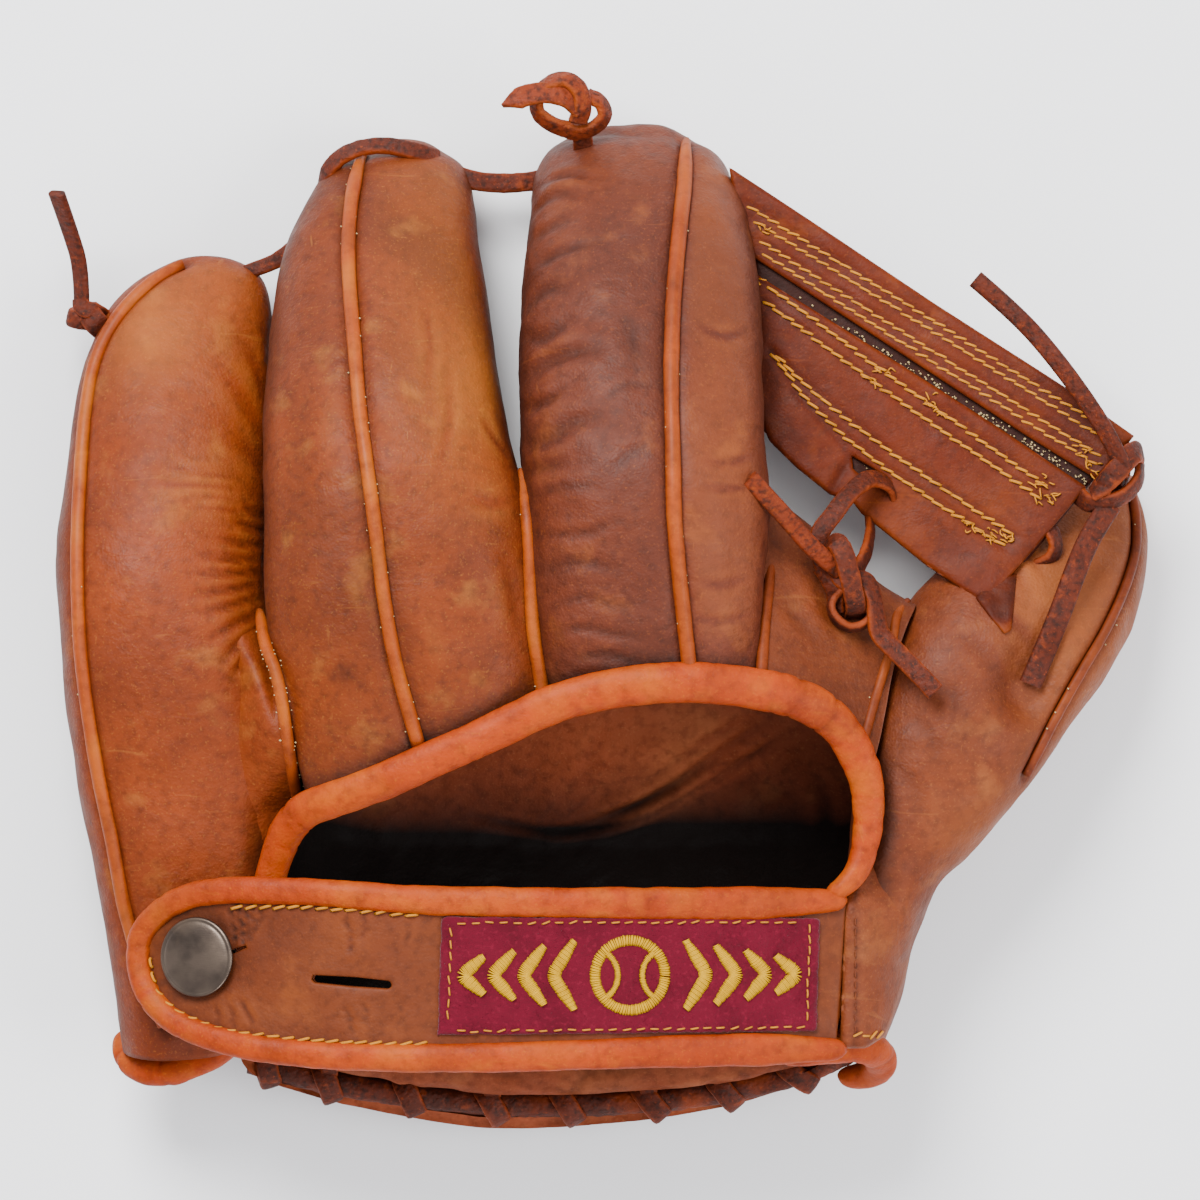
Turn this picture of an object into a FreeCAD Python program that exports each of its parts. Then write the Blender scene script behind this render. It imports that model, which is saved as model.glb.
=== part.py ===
"""Baseball glove: three finger stalls, a thumb, a laced heel, a buttoned wrist strap and a stitched web.

Millimetres, +Z up. The glove lies palm down on its finger tips, thumb tip and heel.
+Y points to the finger tips and +X to the thumb. The origin is the bottom centre of the box round the glove.
"""

import FreeCAD
import Part

import math
import os

from FreeCAD import Placement, Rotation, Vector

doc = FreeCAD.newDocument("baseball_glove")
UP = Vector(0, 0, 1)

# ---------------------------------------------------------------- driving dimensions

DIMENSIONS = [
    ("centre_x", 0.74, "plan x of the box centre, taken off every point"),
    ("centre_y", -1.42, "plan y of the box centre, taken off every point"),
    ("table_z", 0.7, "height of the table, taken off every point"),
    ("hide", 2.4, "thickness of the shell leather"),
    ("lining", 1.4, "thickness of the soft lining leather"),
    ("felt", 7.0, "thickness of the palm felt"),
    ("welt_radius", 1.6, "radius of the piping in the seams"),
    ("binding_radius", 3.3, "radius of the rolled edge binding"),
    ("lace_radius", 1.7, "radius that stands for the 4.6 mm rawhide lace"),
    ("little_half_width", 26.0, "little finger stall, widest"),
    ("little_half_depth", 22.5, "little finger stall, thickest"),
    ("middle_half_width", 33.5, "middle finger stall, widest"),
    ("middle_half_depth", 24.0, "middle finger stall, thickest"),
    ("index_half_width", 30.5, "index finger stall, widest"),
    ("index_half_depth", 24.0, "index finger stall, thickest"),
    ("thumb_half_width", 36.5, "thumb stall at its fold"),
    ("thumb_half_depth", 21.0, "thumb stall, thickest"),
    ("heel_half_width", 14.0, "thumb heel pad, widest"),
    ("heel_half_depth", 22.0, "thumb heel pad, thickest"),
    ("finger_half_width", 13.0, "hollow for one finger or the thumb"),
    ("finger_half_depth", 10.0, "hollow for one finger or the thumb"),
    ("strap_crest_x", -42.5, "plan x of the highest line of the strap"),
    ("strap_crest_z", 74.0, "height of the strap's outer face at its crest"),
    ("strap_flat_radius", 465.0, "bend of the strap over the wrist"),
    ("strap_end_radius", 135.0, "bend of the strap at its button end"),
    ("strap_left_x", -112.0, "plan x of the strap's round end"),
    ("strap_right_x", 60.5, "plan x of the strap's sewn end"),
    ("strap_mid_y", -91.5, "plan y of the strap's middle line"),
    ("strap_half_width", 17.5, "half the strap's width inside its binding"),
    ("strap_leather", 2.2, "thickness of the strap's outer leather"),
    ("strap_lining", 1.2, "thickness of the strap's lining"),
    ("patch_felt", 1.4, "thickness of the felt patch"),
    ("patch_thread", 0.8, "height of the embroidery over the felt"),
    ("button_radius", 10.0, "radius of the button's cap"),
    ("button_rise", 2.6, "height of the button's cap"),
    ("post_radius", 2.2, "radius of the button's post"),
    ("web_length", 121.0, "web along its upper edge"),
    ("web_width", 55.0, "web across its panels"),
    ("web_backing", 1.8, "thickness of the web's backing leather"),
    ("web_panel", 2.2, "thickness of a web panel"),
]

sheet = doc.addObject("Spreadsheet::Sheet", "dims")
for row, (alias, value, _) in enumerate(DIMENSIONS, start=1):
    sheet.set(f"A{row}", str(value))
    sheet.setAlias(f"A{row}", alias)
doc.recompute()


def size(alias):
    """The value of one cell of the sheet."""
    return float(getattr(sheet, alias))


def point(x, y, z):
    """A point given in the layout plan, moved so that the origin is the bottom centre of the box."""
    return Vector(x - size("centre_x"), y - size("centre_y"), z - size("table_z"))


# ---------------------------------------------------------------- helpers

parts = {}


def keep(node, body):
    """Makes body the sub-part called node."""
    body.Label = node
    parts[node] = body
    return body


def cut(base, *tools):
    """base with every tool taken away, as a chain of Part::Cut objects."""
    for tool in tools:
        step = doc.addObject("Part::Cut", "cut")
        step.Base = base
        step.Tool = tool
        base = step
    return base


def common(base, tool):
    """What base and tool share."""
    both = doc.addObject("Part::Common", "common")
    both.Base = base
    both.Tool = tool
    return both


def frame_at(centre, along, across=None):
    """A placement at centre whose Z runs along the spine and whose X lies level, or runs as across says."""
    level = across or along.cross(UP)
    return Placement(centre, Rotation(level, Vector(), along, "ZXY"))


class Column:
    """A stall or pad: ellipses strung along a curved spine.

    A station is (x, y, z, width share, depth share), and may end with the plan angle of its width in degrees.
    """

    def __init__(self, name, half_width, half_depth, stations):
        self.name, self.stations = name, stations
        self.half_width, self.half_depth = half_width, half_depth

    def centre(self, k):
        return point(*self.stations[k][:3])

    def frame(self, k):
        """The placement of station k."""
        last = len(self.stations) - 1
        along = (self.centre(min(k + 1, last)) - self.centre(max(k - 1, 0))).normalize()
        across = None
        if len(self.stations[k]) > 5:
            angle = math.radians(self.stations[k][5])
            across = Vector(math.cos(angle), math.sin(angle), 0)
            level = UP.cross(across)
            along = level if level.dot(along) > 0 else level * -1
        return frame_at(self.centre(k), along, across)

    def loft(self, inset="0", closed_start=True, closed_end=False):
        """The solid inside the leather by inset, an expression. A closed end stops short by the same inset."""
        solid = doc.addObject("Part::Loft", f"{self.name}_loft")
        depth_in = size(inset.split(".")[1]) if "." in inset else float(inset)
        rings = []
        for k, station in enumerate(self.stations):
            ring = doc.addObject("Part::Ellipse", f"{self.name}_ring")
            wide = f"dims.{self.half_width} * {station[3]} - {inset}"
            deep = f"dims.{self.half_depth} * {station[4]} - {inset}"
            upright = size(self.half_width) * station[3] < size(self.half_depth) * station[4]
            place = self.frame(k)
            if upright:
                wide, deep = deep, wide
                place = place * Placement(Vector(), Rotation(UP, 90))
            ring.MajorRadius, ring.MinorRadius = 1000, 1
            ring.setExpression("MajorRadius", wide)
            ring.setExpression("MinorRadius", deep)
            shift = 0.0
            if k == 0 and closed_start:
                shift = depth_in
            if k == len(self.stations) - 1 and closed_end:
                shift = -depth_in
            ring.Placement = place * Placement(Vector(0, 0, shift), Rotation())
            rings.append(ring)
        solid.Sections = rings
        solid.Solid = True
        solid.Ruled = False
        return solid

    def on_skin(self, k, angle, lift=0.0):
        """The point of station k's outline at angle from its top, in degrees, positive towards +X."""
        place = self.frame(k)
        turn = math.radians(angle)
        wide = size(self.half_width) * self.stations[k][3] + lift
        deep = size(self.half_depth) * self.stations[k][4] + lift
        level = place.Rotation.multVec(Vector(1, 0, 0))
        rise = place.Rotation.multVec(Vector(0, 1, 0))
        level = level if level.x > 0 else level * -1
        rise = rise if rise.z > 0 else rise * -1
        return place.Base + level * (wide * math.sin(turn)) + rise * (deep * math.cos(turn))


def rounded_path(points, share=0.45):
    """A wire of straight runs joined by tangent arcs as large as the runs allow."""
    edges, here = [], points[0]
    for k in range(1, len(points) - 1):
        back, ahead = points[k - 1] - points[k], points[k + 1] - points[k]
        reach = share * min(back.Length, ahead.Length)
        back.normalize()
        ahead.normalize()
        half = back.getAngle(ahead) / 2
        radius = reach * math.tan(half)
        middle = points[k] + (back + ahead).normalize() * (radius / math.sin(half) - radius)
        start, end = points[k] + back * reach, points[k] + ahead * reach
        edges.append(Part.LineSegment(here, start).toShape())
        edges.append(Part.Arc(start, middle, end).toShape())
        here = end
    edges.append(Part.LineSegment(here, points[-1]).toShape())
    return Part.Wire(edges)


def tube(name, points, radius):
    """A round tube along the rounded path through points. radius is the alias of a cell."""
    spine = doc.addObject("Part::Feature", f"{name}_path")
    spine.Shape = rounded_path(points)
    ring = doc.addObject("Part::Circle", f"{name}_ring")
    ring.setExpression("Radius", f"dims.{radius}")
    ring.Placement = Placement(points[0], Rotation(UP, points[1] - points[0]))
    sweep = doc.addObject("Part::Sweep", f"{name}_tube")
    sweep.Sections = [ring]
    sweep.Spine = (spine, [f"Edge{n + 1}" for n in range(len(spine.Shape.Edges))])
    sweep.Solid = True
    sweep.Frenet = False
    return sweep


def plan_prism(name, outline, low, high):
    """A vertical prism over a closed plan outline, a list of edges at height 0."""
    face = doc.addObject("Part::Feature", f"{name}_face")
    face.Shape = Part.Face(Part.Wire(outline))
    face.Placement = Placement(Vector(0, 0, low), Rotation())
    prism = doc.addObject("Part::Extrusion", f"{name}_prism")
    prism.Base = face
    prism.DirMode = "Custom"
    prism.Dir = UP
    prism.LengthFwd = high - low
    prism.Solid = True
    return prism


def stadium(left, right, middle, half, round_left=True, round_right=True):
    """Edges of a plan outline with straight long sides and round or square ends."""
    low, high = middle - half, middle + half
    start = left + half if round_left else left
    end = right - half if round_right else right
    corners = [point(start, low, 0), point(end, low, 0), point(end, high, 0), point(start, high, 0)]
    for corner in corners:
        corner.z = 0
    right_tip, left_tip = point(right, middle, 0), point(left, middle, 0)
    right_tip.z = left_tip.z = 0
    edges = [Part.LineSegment(corners[0], corners[1]).toShape()]
    if round_right:
        edges.append(Part.Arc(corners[1], right_tip, corners[2]).toShape())
    else:
        edges.append(Part.LineSegment(corners[1], corners[2]).toShape())
    edges.append(Part.LineSegment(corners[2], corners[3]).toShape())
    if round_left:
        edges.append(Part.Arc(corners[3], left_tip, corners[0]).toShape())
    else:
        edges.append(Part.LineSegment(corners[3], corners[0]).toShape())
    return edges


def patch(rows):
    """A smooth surface through rows of plan points."""
    surface = Part.BSplineSurface()
    surface.interpolate([[point(*p) for p in row] for row in rows])
    return surface


def sheet_solid(name, surface, lift, thick, v_share=1.0):
    """A sheet of leather or felt: the surface raised by lift and thickened upwards, up to v_share of its rows."""
    u0, u1, v0, v1 = surface.bounds()
    face = surface.toShape(u0, u0 + (u1 - u0) * v_share, v0, v1)
    face.translate(Vector(0, 0, lift))
    body = doc.addObject("Part::Feature", name)
    body.Shape = face.extrude(Vector(0, 0, thick))
    return keep(name, body)


# ---------------------------------------------------------------- the stalls

LITTLE = Column("little_finger", "little_half_width", "little_half_depth", [
    (-96.8, 83.0, 9.7, 0.31, 0.30),
    (-99.5, 77.0, 12.2, 0.58, 0.52),
    (-103.5, 66.0, 16.0, 0.79, 0.70),
    (-108.0, 45.0, 24.0, 0.94, 0.84),
    (-109.5, 15.0, 33.0, 0.98, 0.98),
    (-107.5, -20.0, 36.0, 1.00, 1.00),
    (-103.5, -50.0, 34.0, 0.97, 0.92),
    (-101.0, -80.0, 33.0, 0.84, 0.82),
    (-100.5, -94.0, 32.0, 0.79, 0.80),
    (-100.0, -111.0, 28.0, 0.70, 0.70),
])
MIDDLE = Column("middle_finger", "middle_half_width", "middle_half_depth", [
    (-49.5, 113.8, 8.4, 0.26, 0.27),
    (-51.0, 108.0, 11.6, 0.48, 0.50),
    (-53.5, 95.0, 18.0, 0.67, 0.71),
    (-55.0, 70.0, 33.0, 0.81, 0.875),
    (-53.0, 42.5, 47.0, 0.91, 1.00),
    (-50.5, 15.0, 56.0, 0.96, 1.00),
    (-48.5, -10.0, 59.5, 0.965, 0.85),
    (-45.0, -36.0, 60.0, 0.92, 0.60, 24.0),
])
INDEX = Column("index_finger", "index_half_width", "index_half_depth", [
    (10.0, 117.8, 8.2, 0.28, 0.27),
    (8.5, 112.5, 11.9, 0.56, 0.54),
    (9.0, 100.0, 19.0, 0.82, 0.75),
    (10.0, 75.0, 36.0, 0.95, 0.92),
    (10.5, 50.0, 49.0, 1.00, 1.00),
    (12.0, 25.0, 58.0, 0.965, 0.96),
    (12.8, 0.0, 62.0, 0.905, 0.78),
    (13.0, -19.0, 62.0, 0.85, 0.60, -4.0),
])
THUMB = Column("thumb", "thumb_half_width", "thumb_half_depth", [
    (125.2, 25.5, 9.1, 0.21, 0.33),
    (122.0, 20.0, 11.6, 0.40, 0.56),
    (116.3, 10.0, 17.0, 0.575, 0.78),
    (105.0, -10.0, 24.0, 0.74, 0.95),
    (91.5, -29.0, 31.0, 0.87, 1.00, 120.0),
    (78.2, -36.5, 34.0, 1.00, 1.00, 98.6),
])
THUMB_HEEL = Column("thumb_heel", "heel_half_width", "heel_half_depth", [
    (69.5, -38.0, 34.0, 0.45, 0.76),
    (66.5, -65.0, 34.5, 0.86, 0.98),
    (62.5, -88.0, 35.0, 1.00, 1.00),
    (57.0, -110.0, 32.0, 0.86, 0.84),
])

# Each hollow takes one finger. Shares are of the finger's own half width and half depth.
HOLLOWS = {
    "little_finger": [
        (-64.0, -68.0, 42.0, 1.05, 0.95),
        (-84.0, -48.0, 40.0, 1.00, 1.00),
        (-100.0, -20.0, 37.0, 1.00, 1.00),
        (-107.0, 12.0, 33.0, 0.95, 0.95),
        (-106.0, 40.0, 25.0, 0.80, 0.80),
    ],
    "middle_finger": [
        (-44.2, -38.0, 60.2, 1.90, 1.00, 24.0),
        (-48.5, -10.0, 59.5, 1.60, 1.15),
        (-50.5, 15.0, 56.0, 1.20, 1.10),
        (-53.0, 42.5, 47.0, 1.00, 1.00),
        (-54.5, 62.0, 37.5, 0.80, 0.85),
    ],
    "index_finger": [
        (13.1, -21.0, 62.2, 1.60, 1.00, -4.0),
        (12.8, 0.0, 62.0, 1.45, 1.15),
        (12.0, 25.0, 58.0, 1.10, 1.10),
        (10.5, 50.0, 49.0, 1.00, 1.00),
        (10.0, 70.0, 38.5, 0.80, 0.85),
    ],
    "thumb": [
        (78.2, -38.5, 36.0, 1.40, 1.15, 98.6),
        (91.5, -26.0, 31.5, 1.20, 1.10),
        (104.0, -10.0, 25.0, 0.95, 0.95),
        (112.0, 3.0, 20.0, 0.75, 0.80),
    ],
}


def hollow(name, inset="0"):
    """The room for one finger, or with no inset the outside of its lining."""
    return Column(f"{name}_hollow", "finger_half_width", "finger_half_depth", HOLLOWS[name]).loft(
        inset, closed_start=False, closed_end=True
    )


def welt(name, column, spots, lift=0.0):
    """Piping along a column's skin. spots are (station, angle from its top)."""
    return tube(name, [column.on_skin(k, angle, lift) for k, angle in spots], "welt_radius")


def free_welt(name, spots):
    """Piping between two panels, through plan points."""
    return tube(name, [point(*p) for p in spots], "welt_radius")


little_welt = welt("little_finger_welt", LITTLE, [(1, -62), (2, -62), (3, -60), (4, -53), (5, -50), (6, -52), (7, -56)])
middle_welt = welt("middle_finger_welt", MIDDLE, [(1, -38), (2, -22), (3, -12), (4, -12), (5, -8), (6, -2), (7, 2)])
index_welt = welt("index_finger_welt", INDEX, [(1, 42), (2, 22), (3, 15), (4, 12), (5, 18), (6, 20), (7, 24)])
thumb_welt = welt("thumb_welt", THUMB, [(1, 76), (2, 74), (3, 72), (4, 68), (5, 64)])
little_middle_welt = free_welt("little_middle_welt", [
    (-83.6, -4.0, 46.0), (-81.6, -20.0, 50.0), (-78.0, -34.0, 54.0), (-75.2, -46.0, 56.0),
])
middle_index_welt = free_welt("middle_index_welt", [
    (-19.0, 30.0, 62.0), (-17.8, 14.0, 67.5), (-15.8, -4.0, 70.0), (-13.9, -18.0, 71.0),
])
index_crotch_welt = free_welt("index_crotch_welt", [
    (44.2, 12.5, 50.5), (43.4, 2.0, 54.5), (42.6, -9.0, 58.0), (42.0, -14.5, 60.0),
])
crotch_thumb_welt = free_welt("crotch_thumb_welt", [
    (70.0, -5.5, 48.0), (69.0, -12.0, 51.5), (67.0, -20.0, 54.5), (64.8, -27.5, 58.5),
])

# ---------------------------------------------------------------- laces

fingertip_lace = tube("fingertip_lace", [point(*p) for p in [
    (-126.0, 70.0, 17.0), (-112.0, 73.0, 17.0), (-97.0, 79.0, 17.0), (-84.0, 85.5, 18.0), (-75.0, 93.0, 20.0),
    (-69.5, 101.0, 23.0), (-64.5, 108.5, 25.0), (-57.0, 114.0, 24.0), (-49.0, 116.0, 22.0), (-43.0, 112.5, 20.0),
    (-36.0, 107.5, 17.5), (-26.5, 105.0, 17.5), (-14.0, 105.8, 18.0), (-7.5, 108.5, 20.5), (-4.5, 113.5, 25.0),
    (-5.0, 117.5, 29.5),
]], "lace_radius")
LACED = {
    "little_finger": [little_welt, fingertip_lace],
    "middle_finger": [middle_welt, fingertip_lace],
    "index_finger": [index_welt, fingertip_lace],
    "thumb": [thumb_welt],
}

keep("little_finger_welt", little_welt)
keep("middle_finger_welt", cut(middle_welt, fingertip_lace))
keep("index_finger_welt", index_welt)
keep("thumb_welt", thumb_welt)
keep("little_middle_welt", little_middle_welt)
keep("middle_index_welt", middle_index_welt)
keep("index_crotch_welt", index_crotch_welt)
keep("crotch_thumb_welt", crotch_thumb_welt)
keep("fingertip_lace", fingertip_lace)

for column, closed_end in ((LITTLE, True), (MIDDLE, False), (INDEX, False), (THUMB, True)):
    outside = column.loft()
    inside = column.loft("dims.hide", closed_end=closed_end)
    room = hollow(column.name)
    keep(f"{column.name}_shell", cut(outside, inside, room, *LACED[column.name]))
    keep(f"{column.name}_padding", cut(inside, room, *LACED[column.name]))
    keep(f"{column.name}_lining", cut(room, hollow(column.name, "dims.lining")))

heel_inside = THUMB_HEEL.loft("dims.hide", closed_end=True)
keep("thumb_heel_shell", cut(THUMB_HEEL.loft(), heel_inside))
keep("thumb_heel_padding", heel_inside)

# ---------------------------------------------------------------- palm, crotch and heel

PALM_ROWS = [
    [(-79.0, -117.0, 12.0), (-55.0, -122.5, 9.0), (-28.0, -126.0, 7.5), (4.0, -124.0, 7.5), (36.0, -119.0, 10.0)],
    [(-82.0, -104.0, 5.0), (-55.0, -109.0, 2.0), (-28.0, -112.0, 0.5), (6.0, -111.0, 1.0), (42.0, -107.0, 5.0)],
    [(-83.0, -85.0, 4.0), (-56.0, -88.0, 1.0), (-28.0, -90.0, 1.5), (8.0, -90.0, 3.0), (49.0, -88.0, 6.0)],
    [(-81.0, -60.0, 7.0), (-55.0, -62.0, 9.0), (-26.0, -63.0, 13.0), (12.0, -63.0, 15.0), (53.0, -62.0, 12.0)],
    [(-79.0, -38.0, 10.0), (-54.0, -39.0, 18.0), (-24.0, -39.0, 24.0), (16.0, -38.0, 26.0), (61.5, -36.0, 19.0)],
    [(-78.0, -20.0, 12.0), (-54.0, -20.0, 22.0), (-22.0, -19.0, 29.0), (18.0, -17.0, 31.0), (62.0, -14.0, 26.0)],
]
palm_surface = patch(PALM_ROWS)
palm_sheet = sheet_solid("palm_leather", palm_surface, 0, size("hide"))
below = doc.addObject("Part::Box", "below_the_table")
below.Length, below.Width, below.Height = 400, 400, 20
below.Placement = Placement(Vector(-200, -200, -20), Rotation())
keep("palm_leather", cut(palm_sheet, below))
sheet_solid("palm_padding", palm_surface, size("hide"), size("felt"), 0.97)
sheet_solid("palm_lining", palm_surface, size("hide") + size("felt"), size("lining"), 0.99)

crotch_rows = [
    [(42.5, -17.0, 56.0), (50.0, -19.0, 57.0), (58.0, -23.0, 57.0), (64.5, -29.0, 55.0)],
    [(43.5, -5.0, 52.0), (51.0, -8.0, 52.5), (60.0, -13.0, 51.5), (67.5, -19.0, 50.0)],
    [(44.5, 12.0, 45.0), (52.0, 7.0, 44.5), (61.0, 1.0, 44.0), (69.5, -6.0, 43.5)],
]
crotch_surface = patch(crotch_rows)
sheet_solid("crotch_panel", crotch_surface, 0, size("hide"))
facing_rows = [
    [(42.5, -12.0, 38.0), (52.0, -12.0, 38.5), (60.0, -12.0, 37.5), (66.5, -12.0, 34.0)],
    [(43.5, 0.0, 37.0), (52.0, -2.5, 37.5), (60.5, -6.0, 36.5), (68.5, -9.0, 34.0)],
    [(44.5, 12.0, 36.5), (52.0, 7.0, 36.5), (61.0, 1.0, 36.0), (69.5, -6.0, 35.0)],
]
sheet_solid("crotch_facing", patch(facing_rows), 0, size("hide"))

heel_roll = tube("heel_roll", [point(*p) for p in [
    (-87.0, -117.5, 22.0), (-72.0, -122.5, 20.5), (-50.0, -127.5, 19.0), (-27.0, -130.5, 18.5), (0.0, -129.5, 18.5),
    (24.0, -126.5, 19.5), (44.0, -121.5, 21.0), (58.0, -116.0, 23.0),
]], "binding_radius")
HEEL_LOOPS = [-84.0, -69.0, -48.0, -27.5, -8.5, 12.5, 31.0, 50.0]


def heel_line(x):
    """The plan point of the heel roll's axis at x, on the polyline that it follows."""
    spots = [(-87.0, -117.5, 22.0), (-72.0, -122.5, 20.5), (-50.0, -127.5, 19.0), (-27.0, -130.5, 18.5),
             (0.0, -129.5, 18.5), (24.0, -126.5, 19.5), (44.0, -121.5, 21.0), (58.0, -116.0, 23.0)]
    for (x0, y0, z0), (x1, y1, z1) in zip(spots, spots[1:]):
        if x <= x1:
            share = (x - x0) / (x1 - x0)
            return point(x, y0 + (y1 - y0) * share, z0 + (z1 - z0) * share), Vector(x1 - x0, y1 - y0, z1 - z0)
    return point(*spots[-1]), Vector(1, 0, 0)


def lace_loops():
    """One turn of lace round the heel roll at each stop, as a group of rings."""
    rings = []
    for x in HEEL_LOOPS:
        centre, along = heel_line(x)
        outer = size("binding_radius") + 2.0
        ring = Part.makeCylinder(outer, 4.6, centre - along.normalize() * 2.3, along)
        bore = Part.makeCylinder(size("binding_radius") + 0.15, 6.6, centre - along * 3.3, along)
        rings.append(ring.cut(bore))
    body = doc.addObject("Part::Feature", "heel_lace")
    body.Shape = Part.makeCompound(rings)
    return body


keep("heel_roll", heel_roll)
keep("heel_lace", lace_loops())

# ---------------------------------------------------------------- bindings

keep("wrist_binding", tube("wrist_binding", [point(*p) for p in [
    (-78.5, -66.5, 56.5), (-78.0, -57.5, 58.5), (-71.5, -50.5, 65.0), (-60.0, -46.3, 71.0), (-43.5, -39.5, 74.0),
    (-24.0, -31.0, 74.0), (-5.0, -23.2, 74.5), (13.0, -23.0, 76.2), (30.0, -24.0, 74.5), (45.0, -26.5, 70.0),
    (57.0, -32.0, 65.0), (64.0, -42.0, 61.0), (67.2, -54.0, 59.5), (67.5, -62.0, 59.0),
]], "binding_radius"))
keep("heel_binding_left", tube("heel_binding_left", [point(*p) for p in [
    (-118.5, -112.5, 24.0), (-115.0, -117.0, 30.0), (-108.0, -118.5, 34.0), (-98.0, -117.5, 34.0), (-90.5, -113.0, 36.0),
]], "binding_radius"))
keep("heel_binding_right", tube("heel_binding_right", [point(*p) for p in [
    (63.0, -113.5, 47.0), (67.0, -115.0, 43.0), (69.5, -116.0, 36.0), (69.0, -117.0, 29.0), (64.5, -117.5, 23.5),
]], "binding_radius"))

# ---------------------------------------------------------------- wrist strap and button

FAR = 200.0


def strap_height(x, depth=0.0):
    """Height of the strap's face at plan x, depth below its outer face."""
    away = x - size("strap_crest_x")
    radius = size("strap_flat_radius") if away > 0 else size("strap_end_radius")
    return size("strap_crest_z") - radius + math.sqrt((radius - depth) ** 2 - away**2)


def strap_layer(name, top, bottom):
    """A band bent like the strap, between two depths below its outer face, wide enough to cut any outline from."""
    crest, z = size("strap_crest_x"), size("strap_crest_z")
    edges = []
    ends = []
    for depth in (top, bottom):
        flat, end = size("strap_flat_radius") - depth, size("strap_end_radius") - depth
        left = math.asin((crest + 118.0) / end)
        right = math.asin((76.0 - crest) / flat)
        axis_end = point(crest, 0, z - size("strap_end_radius"))
        axis_flat = point(crest, 0, z - size("strap_flat_radius"))
        spots = [axis_end + Vector(-end * math.sin(left * s), 0, end * math.cos(left * s)) for s in (1, 0.5, 0)]
        spots += [axis_flat + Vector(flat * math.sin(right * s), 0, flat * math.cos(right * s)) for s in (0.5, 1)]
        edges.append(Part.Arc(*spots[:3]).toShape())
        edges.append(Part.Arc(*spots[2:]).toShape())
        ends.append((spots[0], spots[-1]))
    edges.append(Part.LineSegment(ends[0][0], ends[1][0]).toShape())
    edges.append(Part.LineSegment(ends[0][1], ends[1][1]).toShape())
    profile = doc.addObject("Part::Feature", f"{name}_profile")
    profile.Shape = Part.Face(Part.Wire(Part.__sortEdges__(edges)))
    profile.Placement = Placement(Vector(0, -FAR, 0), Rotation())
    band = doc.addObject("Part::Extrusion", f"{name}_band")
    band.Base = profile
    band.DirMode = "Custom"
    band.Dir = Vector(0, 1, 0)
    band.LengthFwd = 2 * FAR
    band.Solid = True
    return band


def strap_outline(name, grow=0.0):
    """A prism over the strap's plan outline, larger by grow all round except at its sewn end."""
    edges = stadium(
        size("strap_left_x") - grow, size("strap_right_x"), size("strap_mid_y"), size("strap_half_width") + grow,
        round_right=False,
    )
    return plan_prism(name, edges, 0.0, FAR)


BUTTON_X, BUTTON_Y = -99.2, -88.3
SLIT = (-71.0, -51.5, -95.0, 1.9)


def strap_holes(name):
    """The buttonhole round the post, with its short relief slit, and the second slit."""
    round_hole = plan_prism(
        f"{name}_hole", stadium(BUTTON_X - 3.6, BUTTON_X + 4.6, BUTTON_Y, 2.9), 0.0, FAR
    )
    relief = plan_prism(f"{name}_relief", stadium(BUTTON_X, BUTTON_X + 12.5, BUTTON_Y - 0.5, 1.0), 0.0, FAR)
    slit = plan_prism(f"{name}_slit", stadium(*SLIT), 0.0, FAR)
    return round_hole, relief, slit


def strap_piece(node, top, bottom):
    band = common(strap_layer(node, top, bottom), strap_outline(node))
    return keep(node, cut(band, *strap_holes(node)))


leather_depth = size("strap_leather")
strap_depth = leather_depth + size("strap_lining")
strap_piece("strap_leather", 0.0, leather_depth)
strap_piece("strap_lining", leather_depth, strap_depth)


def strap_binding():
    """The rolled edge round the strap's long sides and round end."""
    band = common(strap_layer("strap_binding", -1.4, strap_depth + 0.8), strap_outline("strap_rim", 6.3))
    return keep("strap_binding", cut(band, strap_outline("strap_field", 0.05)))


strap_binding()

ANCHOR_LEFT, ANCHOR_RIGHT = 61.3, 68.5
anchor_edges = stadium(ANCHOR_LEFT, ANCHOR_RIGHT, size("strap_mid_y"), 20.5, False, False)
keep("strap_anchor", common(strap_layer("strap_anchor", 0.0, 4.6), plan_prism("strap_anchor", anchor_edges, 0.0, FAR)))

PATCH_LEFT, PATCH_RIGHT, PATCH_HALF = -40.0, 54.5, 14.6
patch_edges = stadium(PATCH_LEFT, PATCH_RIGHT, size("strap_mid_y") - 0.5, PATCH_HALF, False, False)
keep("felt_patch", common(
    strap_layer("felt_patch", -size("patch_felt"), 0.0), plan_prism("felt_patch", patch_edges, 0.0, FAR)
))


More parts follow.
